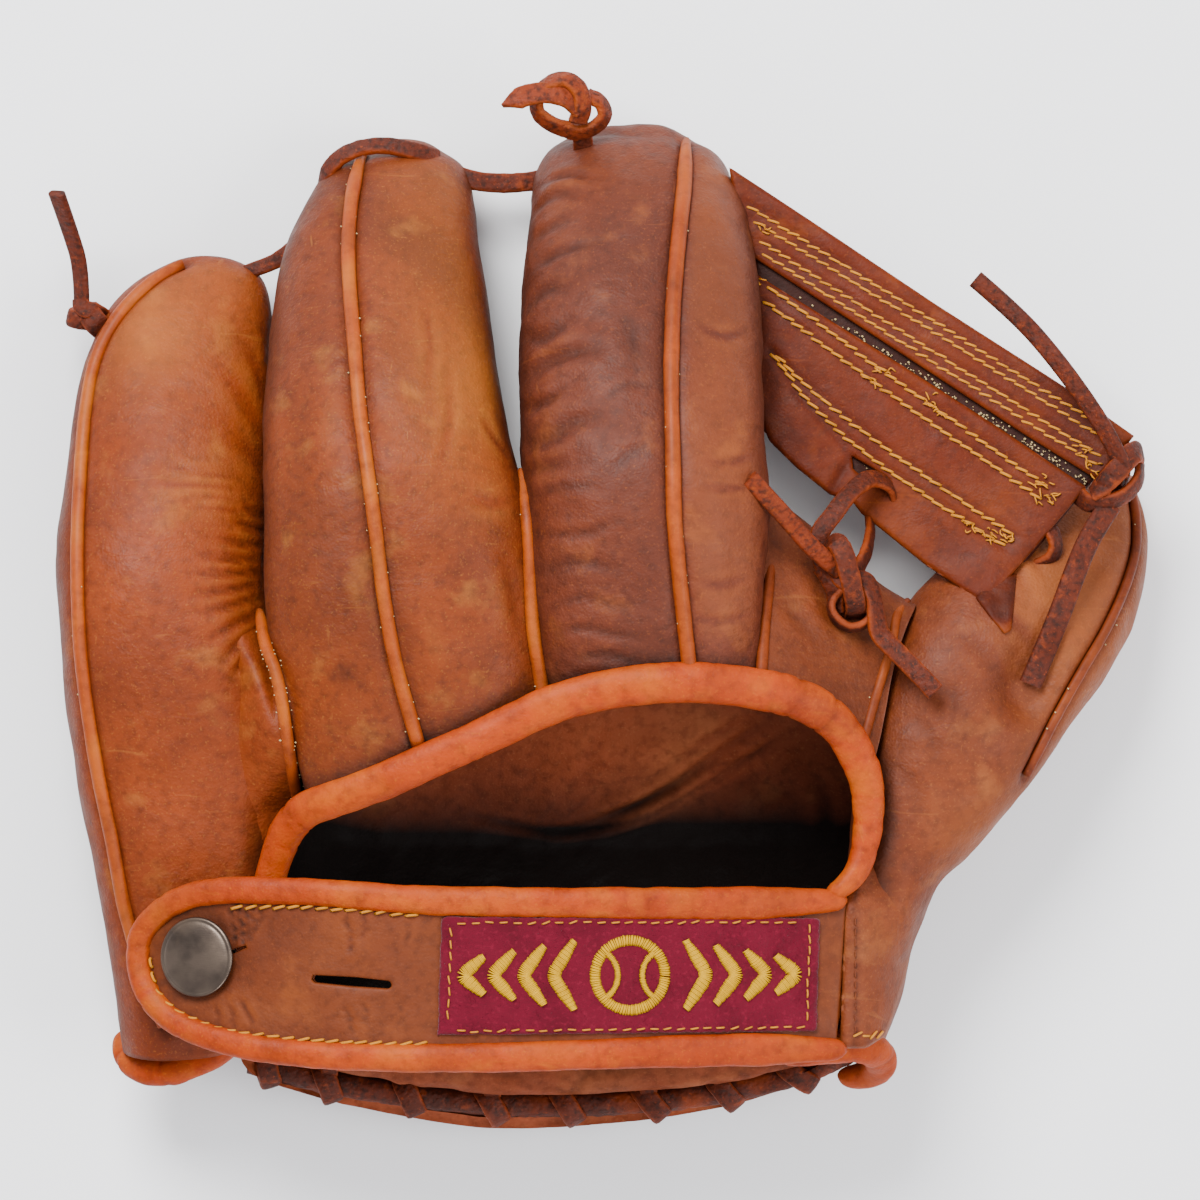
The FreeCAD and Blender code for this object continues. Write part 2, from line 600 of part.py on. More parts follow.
def embroidery():
    """A stitched ball between two tapering rows of chevrons, as a group of raised threads."""
    middle_x, middle_y = (PATCH_LEFT + PATCH_RIGHT) / 2, size("strap_mid_y") - 0.5
    shapes = []
    ball = Part.makeCylinder(9.0, FAR, point(middle_x, middle_y, 0), UP)
    shapes.append(ball.cut(Part.makeCylinder(7.6, FAR, point(middle_x, middle_y, 0), UP)))
    for side in (-1, 1):
        seam = Part.makeCylinder(7.0, FAR, point(middle_x + side * 9.2, middle_y, 0), UP)
        seam = seam.cut(Part.makeCylinder(5.9, FAR, point(middle_x + side * 9.2, middle_y, 0), UP))
        shapes.append(seam.common(Part.makeCylinder(7.4, FAR, point(middle_x, middle_y, 0), UP)))
        for step in range(4):
            reach = 8.0 - 1.5 * step
            start = middle_x + side * (13.0 + 7.0 * step)
            corners = [
                point(start, middle_y + reach, 0), point(start + side * 5.0, middle_y, 0),
                point(start, middle_y - reach, 0), point(start + side * 2.0, middle_y - reach, 0),
                point(start + side * 7.0, middle_y, 0), point(start + side * 2.0, middle_y + reach, 0),
            ]
            shapes.append(Part.Face(Part.makePolygon(corners + corners[:1])).extrude(Vector(0, 0, FAR)))
    prisms = doc.addObject("Part::Feature", "embroidery_prisms")
    prisms.Shape = Part.makeCompound(shapes)
    top = -size("patch_felt") - size("patch_thread")
    return keep("patch_embroidery", common(strap_layer("embroidery", top, -size("patch_felt")), prisms))


embroidery()


def turned(node, profile, place):
    """A PartDesign body revolved about its own Z from a closed (radius, height) profile."""
    body = doc.addObject("PartDesign::Body", f"{node}_body")
    plane = next(f for f in body.Origin.OriginFeatures if f.Role == "XZ_Plane")
    sketch = body.newObject("Sketcher::SketchObject", f"{node}_sketch")
    sketch.AttachmentSupport = [(plane, "")]
    sketch.MapMode = "FlatFace"
    for (r0, h0), (r1, h1) in zip(profile, profile[1:] + profile[:1]):
        sketch.addGeometry(Part.LineSegment(Vector(r0, h0, 0), Vector(r1, h1, 0)))
    turn = body.newObject("PartDesign::Revolution", f"{node}_turn")
    turn.Profile = sketch
    turn.ReferenceAxis = (sketch, ["V_Axis"])
    turn.Angle = 360.0
    body.Placement = place
    return keep(node, body)


def button():
    """A domed cap, a post through the strap and a washer inside the hand."""
    away = BUTTON_X - size("strap_crest_x")
    lean = math.degrees(math.asin(away / size("strap_end_radius")))
    foot = point(BUTTON_X, BUTTON_Y, strap_height(BUTTON_X))
    place = Placement(foot, Rotation(Vector(0, 1, 0), lean))
    cap, rise, post = size("button_radius"), size("button_rise"), size("post_radius")
    turned("button_cap", [
        (0, 0.4), (cap - 1.2, 0.4), (cap, 1.0), (cap, 1.8), (cap - 0.9, 2.3), (cap - 3.0, rise), (0, rise),
    ], place)
    under = -strap_depth
    turned("button_post", [
        (0, 0.4), (post, 0.4), (post, under - 4.6), (0, under - 4.6),
    ], place)
    turned("button_washer", [
        (0, under - 4.6), (6.0, under - 4.6), (6.0, under - 5.6), (0, under - 5.6),
    ], place)
    return place


button_place = button()

# ---------------------------------------------------------------- web


WEB_CORNER = point(133.75, 40.75, 39.5)
WEB_ALONG = Vector(-100.0, 66.75, -15.5)
WEB_ACROSS = Vector(-30.5, -45.8, 3.0)
web_place = Placement(WEB_CORNER, Rotation(WEB_ALONG, WEB_ACROSS, Vector(), "XYZ"))


def web_piece(node, corners, low, thick, hole=True):
    """A padded sketch in the web's own plane: x from the thumb end along the upper edge, y towards the crotch."""
    body = doc.addObject("PartDesign::Body", f"{node}_body")
    plane = next(f for f in body.Origin.OriginFeatures if f.Role == "XY_Plane")
    sketch = body.newObject("Sketcher::SketchObject", f"{node}_sketch")
    sketch.AttachmentSupport = [(plane, "")]
    sketch.MapMode = "FlatFace"
    for (x0, y0), (x1, y1) in zip(corners, corners[1:] + corners[:1]):
        sketch.addGeometry(Part.LineSegment(Vector(x0, y0, 0), Vector(x1, y1, 0)))
    if hole:
        sketch.addGeometry(Part.Circle(Vector(*WEB_HOLE, 0), UP, size("lace_radius") + 0.15))
    pad = body.newObject("PartDesign::Pad", f"{node}_pad")
    pad.Profile = sketch
    pad.Length = thick
    body.Placement = web_place * Placement(Vector(0, 0, low), Rotation())
    return keep(node, body)


WEB_HOLE = (48.5, 46.0)
length, width = size("web_length"), size("web_width")
web_normal = web_place.Rotation.multVec(UP)
backing, panel = size("web_backing"), size("web_panel")
web_piece("web_backing", [
    (1.0, 2.0), (length - 6.0, 2.0), (length - 24.0, 27.0), (length - 39.0, width - 2.0), (6.0, width - 2.0),
], 0, backing)
web_piece("web_upper_panel", [
    (0.0, 0.0), (length, 0.0), (length - 17.0, 16.5), (1.5, 15.0),
], backing, panel, hole=False)
web_piece("web_lower_panel", [
    (2.0, 17.0), (length - 19.0, 18.5), (length - 38.0, width), (6.0, width),
], backing, panel)

# ---------------------------------------------------------------- lace knots and tails


def web_point(x, y, z):
    """A point given in the web's own frame."""
    return web_place.multVec(Vector(x, y, z))


hole_top = web_point(*WEB_HOLE, backing + panel)
hole_bottom = web_point(*WEB_HOLE, 0)
keep("web_lace", tube("web_lace", [
    point(61.5, 9.5, 52.0), point(63.5, 18.0, 51.0), web_point(WEB_HOLE[0] - 3.0, WEB_HOLE[1] + 6.0, 9.5),
    web_point(*WEB_HOLE, 8.5), hole_bottom - web_normal * 4.5, point(71.5, 18.0, 29.5), point(69.5, 11.0, 36.0),
    point(67.0, 6.5, 44.0),
], "lace_radius"))


def torus_ring(place, radius, tube_radius):
    """One closed loop of lace."""
    ring = Part.makeTorus(radius, tube_radius)
    ring.Placement = place
    return ring


def knot(node, rings, runs):
    """A knot: loops as (centre, axis, radius) and straight runs as (start, end), all fused."""
    body = doc.addObject("Part::Feature", node)
    radius = size("lace_radius")
    pieces = [torus_ring(Placement(c, Rotation(UP, axis)), r, radius) for c, axis, r in rings]
    for start, end in runs:
        pieces.append(Part.makeCylinder(radius, (end - start).Length, start, end - start))
    body.Shape = pieces[0].fuse(pieces[1:]).removeSplitter() if len(pieces) > 1 else pieces[0]
    return keep(node, body)


knot("web_lace_knot", [
    (point(64.5, -3.5, 55.5), Vector(0.1, 0.1, 1), 4.6), (point(62.0, 4.0, 56.0), Vector(1, 0.6, 0.3), 3.8),
], [
    (point(68.0, -7.5, 58.0), point(82.0, -23.5, 61.0)),
])
keep("web_lace_tail", tube("web_lace_tail", [
    point(59.5, 7.2, 57.5), point(54.0, 14.0, 62.5), point(46.5, 21.5, 68.0), point(37.5, 29.5, 73.0),
], "lace_radius"))

knot("index_lace_knot", [
    (point(-6.0, 122.0, 32.5), Vector(0.15, -0.5, 1), 5.6), (point(-10.5, 127.5, 35.5), Vector(0.1, 0.6, 1), 4.6),
], [
    (point(-12.5, 126.0, 37.5), point(-24.0, 124.8, 37.5)),
])
knot("little_lace_knot", [(point(-127.5, 71.0, 21.5), Vector(1, 0.2, 0), 3.2)], [])
keep("little_lace_tail", tube("little_lace_tail", [
    point(-130.2, 75.0, 23.5), point(-130.2, 83.5, 25.5), point(-132.6, 92.0, 30.0), point(-135.6, 101.5, 39.0),
], "lace_radius"))

knot("thumb_lace_knot", [
    (point(130.8, 30.7, 40.0), Vector(0.77, -0.64, 0.1), 6.0), (point(129.6, 25.6, 42.0), Vector(0.5, 0.7, 0.6), 3.6),
], [
    (point(130.4, 29.4, 35.0), point(126.2, 24.6, 18.5)),
])
keep("thumb_lace_tail_long", tube("thumb_lace_tail_long", [
    point(130.4, 32.4, 47.6), point(127.0, 40.0, 49.0), point(121.0, 49.5, 49.0), point(113.0, 60.5, 47.5),
    point(104.0, 71.0, 45.0), point(93.5, 80.0, 44.0),
], "lace_radius"))
keep("thumb_lace_tail_short", tube("thumb_lace_tail_short", [
    point(127.2, 23.8, 43.5), point(122.5, 17.0, 46.0), point(118.5, 8.0, 47.5), point(113.5, -6.0, 48.5),
    point(107.0, -21.0, 48.0),
], "lace_radius"))

# ---------------------------------------------------------------- checks and export

doc.recompute()
for item in doc.Objects:
    if "Invalid" in item.State or "Error" in item.State:
        raise RuntimeError(f"{item.Name} ({item.Label}) failed: {item.State}")

os.makedirs("parts", exist_ok=True)
for old in os.listdir("parts"):
    if old.endswith(".step"):
        os.remove(os.path.join("parts", old))
for node, body in parts.items():
    shape = body.Shape
    if shape.isNull() or not shape.isValid() or not shape.Solids:
        raise RuntimeError(f"{node} has no valid solid")
    shape.exportStep(f"parts/{node}.step")

CORD_NODES = [
    "web_lace_tail", "little_lace_tail", "thumb_lace_tail_long", "thumb_lace_tail_short",
]
box = FreeCAD.BoundBox()
for node, body in parts.items():
    if node not in CORD_NODES:
        box.add(body.Shape.BoundBox)
print(f"{len(parts)} sub-parts; box without the free lace ends:", box)
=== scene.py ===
"""The looks of the baseball glove.

Plan coordinates are the millimetres that part.py uses, seen from above: x to the right, y towards the finger
tips, z up. row() turns them into metres. A tone is a number per point that a leather reads: below 0 darker,
above 0 paler.
"""
import math

import bpy
import numpy as np
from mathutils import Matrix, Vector
from mathutils.bvhtree import BVHTree
from mathutils.geometry import delaunay_2d_cdt


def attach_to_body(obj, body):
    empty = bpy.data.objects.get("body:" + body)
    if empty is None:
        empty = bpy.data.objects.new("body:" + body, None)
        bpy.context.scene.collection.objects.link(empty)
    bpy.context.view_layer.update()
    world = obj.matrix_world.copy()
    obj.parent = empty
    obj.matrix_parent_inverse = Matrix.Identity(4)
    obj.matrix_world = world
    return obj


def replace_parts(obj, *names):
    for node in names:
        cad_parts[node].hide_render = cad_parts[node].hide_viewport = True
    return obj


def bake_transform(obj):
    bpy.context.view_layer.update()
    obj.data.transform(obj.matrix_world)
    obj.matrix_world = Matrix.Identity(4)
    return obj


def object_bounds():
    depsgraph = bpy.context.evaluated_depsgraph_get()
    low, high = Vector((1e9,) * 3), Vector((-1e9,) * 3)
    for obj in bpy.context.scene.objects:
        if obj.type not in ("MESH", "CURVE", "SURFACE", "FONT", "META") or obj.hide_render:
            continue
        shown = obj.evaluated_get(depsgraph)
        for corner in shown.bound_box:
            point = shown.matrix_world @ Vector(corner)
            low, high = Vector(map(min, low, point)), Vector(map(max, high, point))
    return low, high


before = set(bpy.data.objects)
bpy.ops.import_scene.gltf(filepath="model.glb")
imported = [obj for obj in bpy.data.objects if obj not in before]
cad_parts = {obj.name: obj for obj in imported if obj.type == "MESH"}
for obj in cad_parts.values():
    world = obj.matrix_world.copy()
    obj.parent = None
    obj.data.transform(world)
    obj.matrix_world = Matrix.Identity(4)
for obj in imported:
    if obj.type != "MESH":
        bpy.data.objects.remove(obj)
cad_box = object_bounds()

MM = 0.001
PLAN_ORIGIN = np.array([0.74, -1.42, 0.7])
UP = np.array([0.0, 0.0, 1.0])
rng = np.random.default_rng(7)


def row(points):
    """Plan millimetres as metres in the row frame."""
    return (np.asarray(points, float) - PLAN_ORIGIN) * MM


# ---------------------------------------------------------------- camera and cords

CAMERA_HEIGHT = 2535
LACE_WIDTH, LACE_THICK = 4.6, 2.2

camera = bpy.data.objects.new("camera", bpy.data.cameras.new("camera"))
bpy.context.scene.collection.objects.link(camera)
camera.location = row((0, 0, CAMERA_HEIGHT))
camera.data.sensor_width, camera.data.lens = 36, 300
camera.data.clip_start, camera.data.clip_end = 0.1, 20
bpy.context.scene.camera = camera


def cord(name, points, tilts, width=LACE_WIDTH):
    """A free lace end: a flat thong along one smooth NURBS line."""
    data = bpy.data.curves.new(name, "CURVE")
    data.dimensions, data.twist_mode = "3D", "MINIMUM"
    data.extrude = (width - LACE_THICK) / 2 * MM
    data.bevel_depth, data.bevel_resolution, data.use_fill_caps = LACE_THICK / 2 * MM, 3, True
    line = data.splines.new("NURBS")
    line.points.add(len(points) - 1)
    for spot, where, tilt in zip(line.points, points, tilts):
        spot.co = (*row(where), 1)
        spot.tilt = math.radians(tilt)
    line.order_u, line.use_endpoint_u, line.resolution_u = 3, True, 16
    obj = bpy.data.objects.new(name, data)
    bpy.context.scene.collection.objects.link(obj)
    return obj


web_tail = cord("web_lace_end", [(59.5, 7.2, 57.5), (53.5, 11.5, 62.5), (45.8, 20.5, 68), (36.8, 30, 73)],
                [75, 80, 85, 90])
little_tail = cord("little_lace_end", [(-130.2, 75, 23.5), (-130.2, 83.5, 25.5), (-132.6, 92, 30),
                                       (-135.6, 101.5, 39)],
                   [50, 55, 60, 65])
long_tail = cord("thumb_lace_long_end", [
    (130.4, 32.4, 47.6), (127, 40, 49), (121, 49.5, 49), (113, 60.5, 47.5), (104, 71, 45), (93.5, 80, 44)],
    [60, 65, 70, 75, 80, 85])
short_tail = cord("thumb_lace_short_end", [
    (127.2, 23.8, 43.5), (122.5, 17, 46), (118.5, 8, 47.5), (113.5, -6, 48.5), (107, -21, 48)], [85] * 5,
    5.8)

# ---------------------------------------------------------------- numbers and meshes


def value_noise(p, seed):
    """Smooth noise from -1 to 1 at points p, the same on every run."""
    cell = np.floor(p).astype(np.int64)
    f = p - cell
    f = f * f * (3 - 2 * f)
    out = np.zeros(len(p))
    for corner in range(8):
        bit = np.array([corner & 1, corner >> 1 & 1, corner >> 2 & 1])
        n = ((cell + bit) * np.array([374761393, 668265263, 2147483647])).sum(1) + seed * 974634777
        n = ((n ^ (n >> 13)) * 1274126177) & 0xFFFFFFFF
        n = (n ^ (n >> 16)) & 0xFFFF
        out += n / 65535 * np.prod(np.where(bit, f, 1 - f), 1)
    return out * 2 - 1


def fbm(p, size, seed=1, octaves=3):
    """Noise with detail: features of about size mm."""
    p = np.asarray(p, float).reshape(-1, 3) / size
    return sum(value_noise(p * 2.0**k + 17.3 * k, seed + k) / 2**k for k in range(octaves))


def flat(points):
    """Plan points as 3-D points at height 0."""
    points = np.asarray(points, float)
    return np.c_[points[:, :2], 0 * points[:, 0]]


def unit(v):
    """Vectors at length 1."""
    return v / np.maximum(np.linalg.norm(v, axis=-1, keepdims=True), 1e-9)


def spline(points, count, closed=False):
    """count points, evenly spaced, on a smooth line through points of any dimension."""
    p = np.asarray(points, float)
    p = np.vstack([p[-1:], p, p[:2]]) if closed else np.vstack([2 * p[0] - p[1], p, 2 * p[-1] - p[-2]])
    runs = []
    for k in range(1, len(p) - 2):
        a, b, c, d = p[k - 1 : k + 3]
        t = np.cumsum([0] + [max(np.linalg.norm(y - x), 1e-6) ** 0.5 for x, y in ((a, b), (b, c), (c, d))])
        u = np.linspace(t[1], t[2], 24, endpoint=False)[:, None]
        ab, bc, cd = (((t[n + 1] - u) * x + (u - t[n]) * y) / (t[n + 1] - t[n]) for n, (x, y) in
                      enumerate(((a, b), (b, c), (c, d))))
        abc = ((t[2] - u) * ab + (u - t[0]) * bc) / (t[2] - t[0])
        bcd = ((t[3] - u) * bc + (u - t[1]) * cd) / (t[3] - t[1])
        runs.append(((t[2] - u) * abc + (u - t[1]) * bcd) / (t[2] - t[1]))
    line = np.vstack(runs + [p[-2][None]])
    along = np.r_[0, np.cumsum(np.linalg.norm(np.diff(line, axis=0), axis=1))]
    at = np.linspace(0, along[-1], count + 1 if closed else count)[:count]
    return np.stack([np.interp(at, along, line[:, k]) for k in range(line.shape[1])], 1)


def grid_faces(rows, cols, wrap=False, loop=False):
    """Quads of a grid, closed across its columns with wrap and along its rows with loop."""
    i = np.arange(rows if loop else rows - 1)[:, None]
    j = np.arange(cols if wrap else cols - 1)[None, :]
    a, b = i * cols + j, i * cols + (j + 1) % cols
    c, d = (i + 1) % rows * cols + (j + 1) % cols, (i + 1) % rows * cols + j
    return np.stack([a, b, c, d], -1).reshape(-1, 4)


def vertex_normals(verts, faces):
    """The smooth normal at each point of a mesh."""
    out = np.zeros_like(verts)
    f = np.asarray(faces)
    n = np.cross(verts[f[:, 2]] - verts[f[:, 0]], verts[f[:, -1]] - verts[f[:, 1]])
    for k in range(f.shape[1]):
        np.add.at(out, f[:, k], n)
    return unit(out)


def build(name, verts, faces, material, slot, tone=None, body=None):
    """A smooth mesh object from plan points."""
    mesh = bpy.data.meshes.new(name)
    mesh.from_pydata(row(verts).tolist(), [], [list(map(int, f)) for f in faces])
    mesh.polygons.foreach_set("use_smooth", [True] * len(mesh.polygons))
    mesh.materials.append(material)
    if tone is not None:
        mesh.attributes.new("tone", "FLOAT", "POINT").data.foreach_set("value", np.asarray(tone, np.float32))
    obj = bpy.data.objects.new(name, mesh)
    bpy.context.scene.collection.objects.link(obj)
    if body:
        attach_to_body(obj, body)
    return obj


def make(name, shape, material, slot, body=None):
    """A smooth mesh object from a shape: its points, faces and tone."""
    verts, faces, tone = shape
    return build(name, verts, faces, material, slot, tone, body)


def attach(piece, body, bend=None):
    """Rides a piece on a body, or with bend bakes its placement into its points instead."""
    if bend:
        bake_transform(piece)
    else:
        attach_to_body(piece, body)


def distance(points, line):
    """From each point to a polyline, and how far along the line its nearest point is, from 0 to 1."""
    best, where = np.full(len(points), 1e9), np.zeros(len(points))
    for k, (a, b) in enumerate(zip(line, line[1:])):
        d = b - a
        t = np.clip((points - a) @ d / max(d @ d, 1e-9), 0, 1)
        away = np.linalg.norm(points - a - t[:, None] * d, axis=1)
        near = away < best
        best[near], where[near] = away[near], ((k + t) / (len(line) - 1))[near]
    return best, where


class Skin:
    """A surface being shaped: its points, quads and tone, before it becomes an object."""

    def __init__(self, verts, faces):
        self.verts, self.faces = np.asarray(verts, float), np.asarray(faces)
        self.tone = np.zeros(len(self.verts))
        self.refresh()

    def refresh(self):
        """Works out the normals and the search tree again."""
        self.normals = vertex_normals(self.verts, self.faces)
        self.tree = BVHTree.FromPolygons(self.verts.tolist(), self.faces.tolist())

    def flip(self):
        """Turns the surface's front round."""
        self.faces = self.faces[:, ::-1]
        self.refresh()

    def drop(self, points):
        """Plan points let down onto the surface from above, and the surface's normals there."""
        spots, normals = [], []
        for p in np.asarray(points, float):
            hit = self.tree.ray_cast(Vector((p[0], p[1], 200)), Vector((0, 0, -1)))
            if hit[0] is None:
                near = self.tree.find_nearest(Vector((p[0], p[1], 60 if len(p) < 3 else p[2])))
                hit = (near[0], near[1])
            spots.append(np.array(hit[0]))
            normals.append(np.array(hit[1]))
        return np.array(spots), np.array(normals)

    def press(self, line, width, depth, tone=0.0, fade=0.0):
        """A rounded groove (or, with a negative depth, a ridge) along a 3-D line."""
        low, high = line.min(0) - 4 * width, line.max(0) + 4 * width
        near = np.flatnonzero(((self.verts > low) & (self.verts < high)).all(1))
        if not len(near):
            return
        away, along = distance(self.verts[near], line)
        amount = np.exp(-((away / width) ** 2))
        if fade:
            amount *= np.clip(np.minimum(along, 1 - along) / fade, 0, 1)
        self.verts[near] -= self.normals[near] * (amount * depth)[:, None]
        self.tone[near] += tone * amount

    def crease(self, points, width=1.2, depth=0.8, tone=-0.35, lip=0.35):
        """A fold in the leather: a groove with a soft ridge beside it, thinning out at both ends; the groove
        is darkened as painted shade and the ridges are paled as painted light.
        """
        line, normals = self.drop(spline(points, max(8, 4 * len(points))))
        # painted shade in the groove; the ridges' tone of 0.12 below is painted light
        self.press(line, width, depth, tone, 0.35)
        side = unit(np.cross(np.gradient(line, axis=0), normals))
        for way in (-1, 1):
            self.press(line + side * way * width * 1.9, width * 1.2, -depth * lip, 0.12, 0.35)

    def rumple(self, size, depth, seed):
        """Bumps of about size mm all over."""
        self.verts += self.normals * (fbm(self.verts, size, seed) * depth)[:, None]


def capped(verts, faces, count, around):
    """Closes both ends of a tube of count rings."""
    ends = [list(range(around)), list(range((count - 1) * around, count * around))]
    mids = np.array([verts[e].mean(0) for e in ends])
    n = len(verts)
    fans = [(ring[k], ring[(k + 1) % around], n + which) if which == 1 else (ring[(k + 1) % around],
        ring[k], n + which)
            for which, ring in enumerate(ends) for k in range(around)]
    return np.vstack([verts, mids]), [tuple(f) for f in faces] + fans


def rounded_section(around, power):
    """A rounded rectangle's outline from -1 to 1, squarer with a higher power."""
    turn = np.linspace(0, 2 * math.pi, around, endpoint=False)
    x = np.sign(np.cos(turn)) * np.abs(np.cos(turn)) ** (2 / power)
    y = np.sign(np.sin(turn)) * np.abs(np.sin(turn)) ** (2 / power)
    return x, y


def sweep(line, width, thick, ups, around=14, power=2.4, rough=0.0, seed=3, closed=False, taper=0.0):
    """A band of rounded section along a line, width across it and thick along ups: points, faces, tone."""
    line = np.asarray(line, float)
    count = len(line)
    tangent = np.gradient(np.vstack([line[-1:], line, line[:1]]),
                          axis=0)[1:-1] if closed else np.gradient(line, axis=0)
    tangent = unit(tangent)
    side = unit(np.cross(tangent, np.broadcast_to(ups, line.shape)))
    rise = np.cross(side, tangent)
    x, y = rounded_section(around, power)
    grow = np.ones(count)
    if taper:
        grow = np.clip(np.minimum(np.arange(count), np.arange(count)[::-1]) / taper, 0.25, 1) ** 0.5
    w, h = (np.broadcast_to(np.asarray(v, float), (count,)) * grow / 2 for v in (width, thick))
    verts = line[:, None] + side[:, None] * (x[None] * w[:, None])[..., None] + rise[:, None] * (
        y[None] * h[:, None])[..., None]
    edge = np.broadcast_to(np.abs(x)[None] ** 6, (count, around)).reshape(-1)
    verts = verts.reshape(-1, 3)
    if rough:
        out = unit(verts - np.repeat(line, around, 0))
        verts = verts + out * (fbm(verts, 1.6, seed, 3) * rough)[:, None]
    faces = grid_faces(count, around, True, closed)
    tone = edge * 0.55 + fbm(verts, 5, seed, 2) * 0.12
    if not closed:
        verts, faces = capped(verts, faces, count, around)
        tone = np.r_[tone, 0.6, 0.6]
    return verts, faces, tone


def joined(parts):
    """Several (points, faces, tone) as one."""
    verts, faces, tones, start = [], [], [], 0
    for points, quads, tone in parts:
        verts.append(points)
        faces += [tuple(int(i) + start for i in face) for face in quads]
        tones.append(np.broadcast_to(tone, len(points)))
        start += len(points)
    return np.vstack(verts), faces, np.concatenate(tones)


FLAT_GRAIN = np.array([[-1, 0, 0], [-0.3, 0.2, 0], [0.4, -0.1, 0], [1, 0.3, 0]]), 1.5, 1.2
ROUND_GRAIN = np.array([[-1, 0, 0], [-0.3, 0.3, 0.2], [0.4, -0.2, 0.1], [1, 0.3, 0]]), 1.6, 1.3


def grain(spot, size, kind=FLAT_GRAIN):
    """A grain of wax dust, a few tenths of a millimetre long."""
    path, wide, thick = kind
    return sweep(spot + path * size * 0.7, size * wide, size * thick, UP, 5, 2, taper=1)


def stitches(line, normals, pitch, length, radius, lift, slant, jitter):
    """Thread stitches laid along a line on a surface, length long and pitch apart."""
    along = np.r_[0, np.cumsum(np.linalg.norm(np.diff(line, axis=0), axis=1))]
    parts, at = [], pitch * 0.3
    while at + length < along[-1]:
        ends = []
        for s, way in ((at, -1), (at + length, 1)):
            p = np.array([np.interp(s, along, line[:, k]) for k in range(3)])
            n = np.array([np.interp(s, along, normals[:, k]) for k in range(3)])
            side = unit(np.cross(n, line[-1] - line[0]))
            ends.append(p + n * lift + side * (slant * way + rng.normal(0, jitter)))
        middle = (ends[0] + ends[1]) / 2 + unit(normals[len(normals) // 2]) * radius * 1.1
        path = spline([ends[0] - normals[0] * 0.5, ends[0], middle, ends[1], ends[1] - normals[0] * 0.5], 9)
        parts.append(sweep(path, 2 * radius, 2 * radius, np.array([0.31, 0.22, 1.0]), 6, 2))
        at += pitch * (1 + rng.normal(0, 0.04))
    return joined(parts)


# ---------------------------------------------------------------- materials

PURITY = np.array([1, 1.42, 1.95])
DEPTH = 0.43


def srgb(r, g, b):
    """A pigment that looks like this colour once lit: film-like tones pale it, so it starts deeper."""
    linear = np.array([c / 255 / 12.92 if c <= 10 else ((c / 255 + 0.055) / 1.055) ** 2.4 for c in (r, g,
        b)])
    top = linear.max()
    return (*(top * (linear / top) ** PURITY * DEPTH).tolist(), 1)


class Shade:
    """A procedural material: colour and bump in layers, and the uniform values on the shader's sockets."""

    def __init__(self, name, roughness=(0.42, 0.6), **uniform):
        self.material = bpy.data.materials.new(name)
        self.material.use_nodes = True
        self.tree = self.material.node_tree
        self.shader = self.tree.nodes["Principled BSDF"]
        for key, value in uniform.items():
            self.shader.inputs[key.replace("_", " ")].default_value = value
        self.place = self.node("ShaderNodeTexCoord").outputs["Object"]
        self.colour = None
        self.height = None
        rough = self.node("ShaderNodeMapRange",
                          {"From Min": 0.3, "From Max": 0.7, "To Min": roughness[0], "To Max": roughness[1]})
        self.link(self.noise(120, 4), rough.inputs["Value"])
        self.link(rough.outputs[0], self.shader.inputs["Roughness"])

    def node(self, kind, values=None, **props):
        """A new node with values on its inputs."""
        made = self.tree.nodes.new(kind)
        for key, value in props.items():
            setattr(made, key, value)
        for key, value in (values or {}).items():
            made.inputs[key].default_value = value
        return made

    def link(self, a, b):
        """Joins two sockets."""
        self.tree.links.new(a, b)

    def noise(self, scale, detail=3, stretch=None, distortion=0.0, offset=0.0):
        """Cloudy noise, from 0 to 1, over the object."""
        made = self.node("ShaderNodeTexNoise", {"Scale": scale, "Detail": detail, "Distortion": distortion})
        mapped = self.node("ShaderNodeMapping",
                           {"Location": (offset, offset * 0.7, 0), "Scale": stretch or (1, 1, 1)})
        self.link(self.place, mapped.inputs["Vector"])
        self.link(mapped.outputs[0], made.inputs["Vector"])
        return made.outputs["Factor" if "Factor" in made.outputs else "Fac"]

    def cells(self, scale, feature="F1"):
        """Pebbled leather: the distance to the nearest of many points."""
        made = self.node("ShaderNodeTexVoronoi", {"Scale": scale}, feature=feature)
        self.link(self.place, made.inputs["Vector"])
        return made.outputs["Distance"]

    def tone(self):
        """The points' tone: the leather's own variation, and painted shade and painted light."""
        return self.node("ShaderNodeAttribute", attribute_name="tone").outputs["Fac"]

    def ranged(self, value, low, high, to_low=0.0, to_high=1.0):
        """A value spread from one range to another."""
        made = self.node("ShaderNodeMapRange",
                         {"From Min": low, "From Max": high, "To Min": to_low, "To Max": to_high})
        self.link(value, made.inputs["Value"])
        return made.outputs[0]

    def paint(self, colour, factor=None, blend="MIX"):
        """Lays a colour over what is there."""
        if self.colour is None:
            made = self.node("ShaderNodeRGB")
            made.outputs[0].default_value = colour
            self.colour = made.outputs[0]
            return self
        mix = self.node("ShaderNodeMix", data_type="RGBA", blend_type=blend)
        socket = {s.identifier: s for s in mix.inputs}
        self.link(factor, socket["Factor_Float"])
        self.link(self.colour, socket["A_Color"])
        socket["B_Color"].default_value = colour
        self.colour = {s.identifier: s for s in mix.outputs}["Result_Color"]
        return self

    def bump(self, value, strength, depth=0.0004):
        """Adds relief."""
        made = self.node("ShaderNodeBump", {"Strength": strength, "Distance": depth})
        self.link(value, made.inputs["Height"])
        if self.height is not None:
            self.link(self.height, made.inputs["Normal"])
        self.height = made.outputs[0]
        return self

    def done(self):
        """Joins the colour and relief to the shader."""
        self.link(self.colour, self.shader.inputs["Base Color"])
        if self.height is not None:
            self.link(self.height, self.shader.inputs["Normal"])
        return self.material


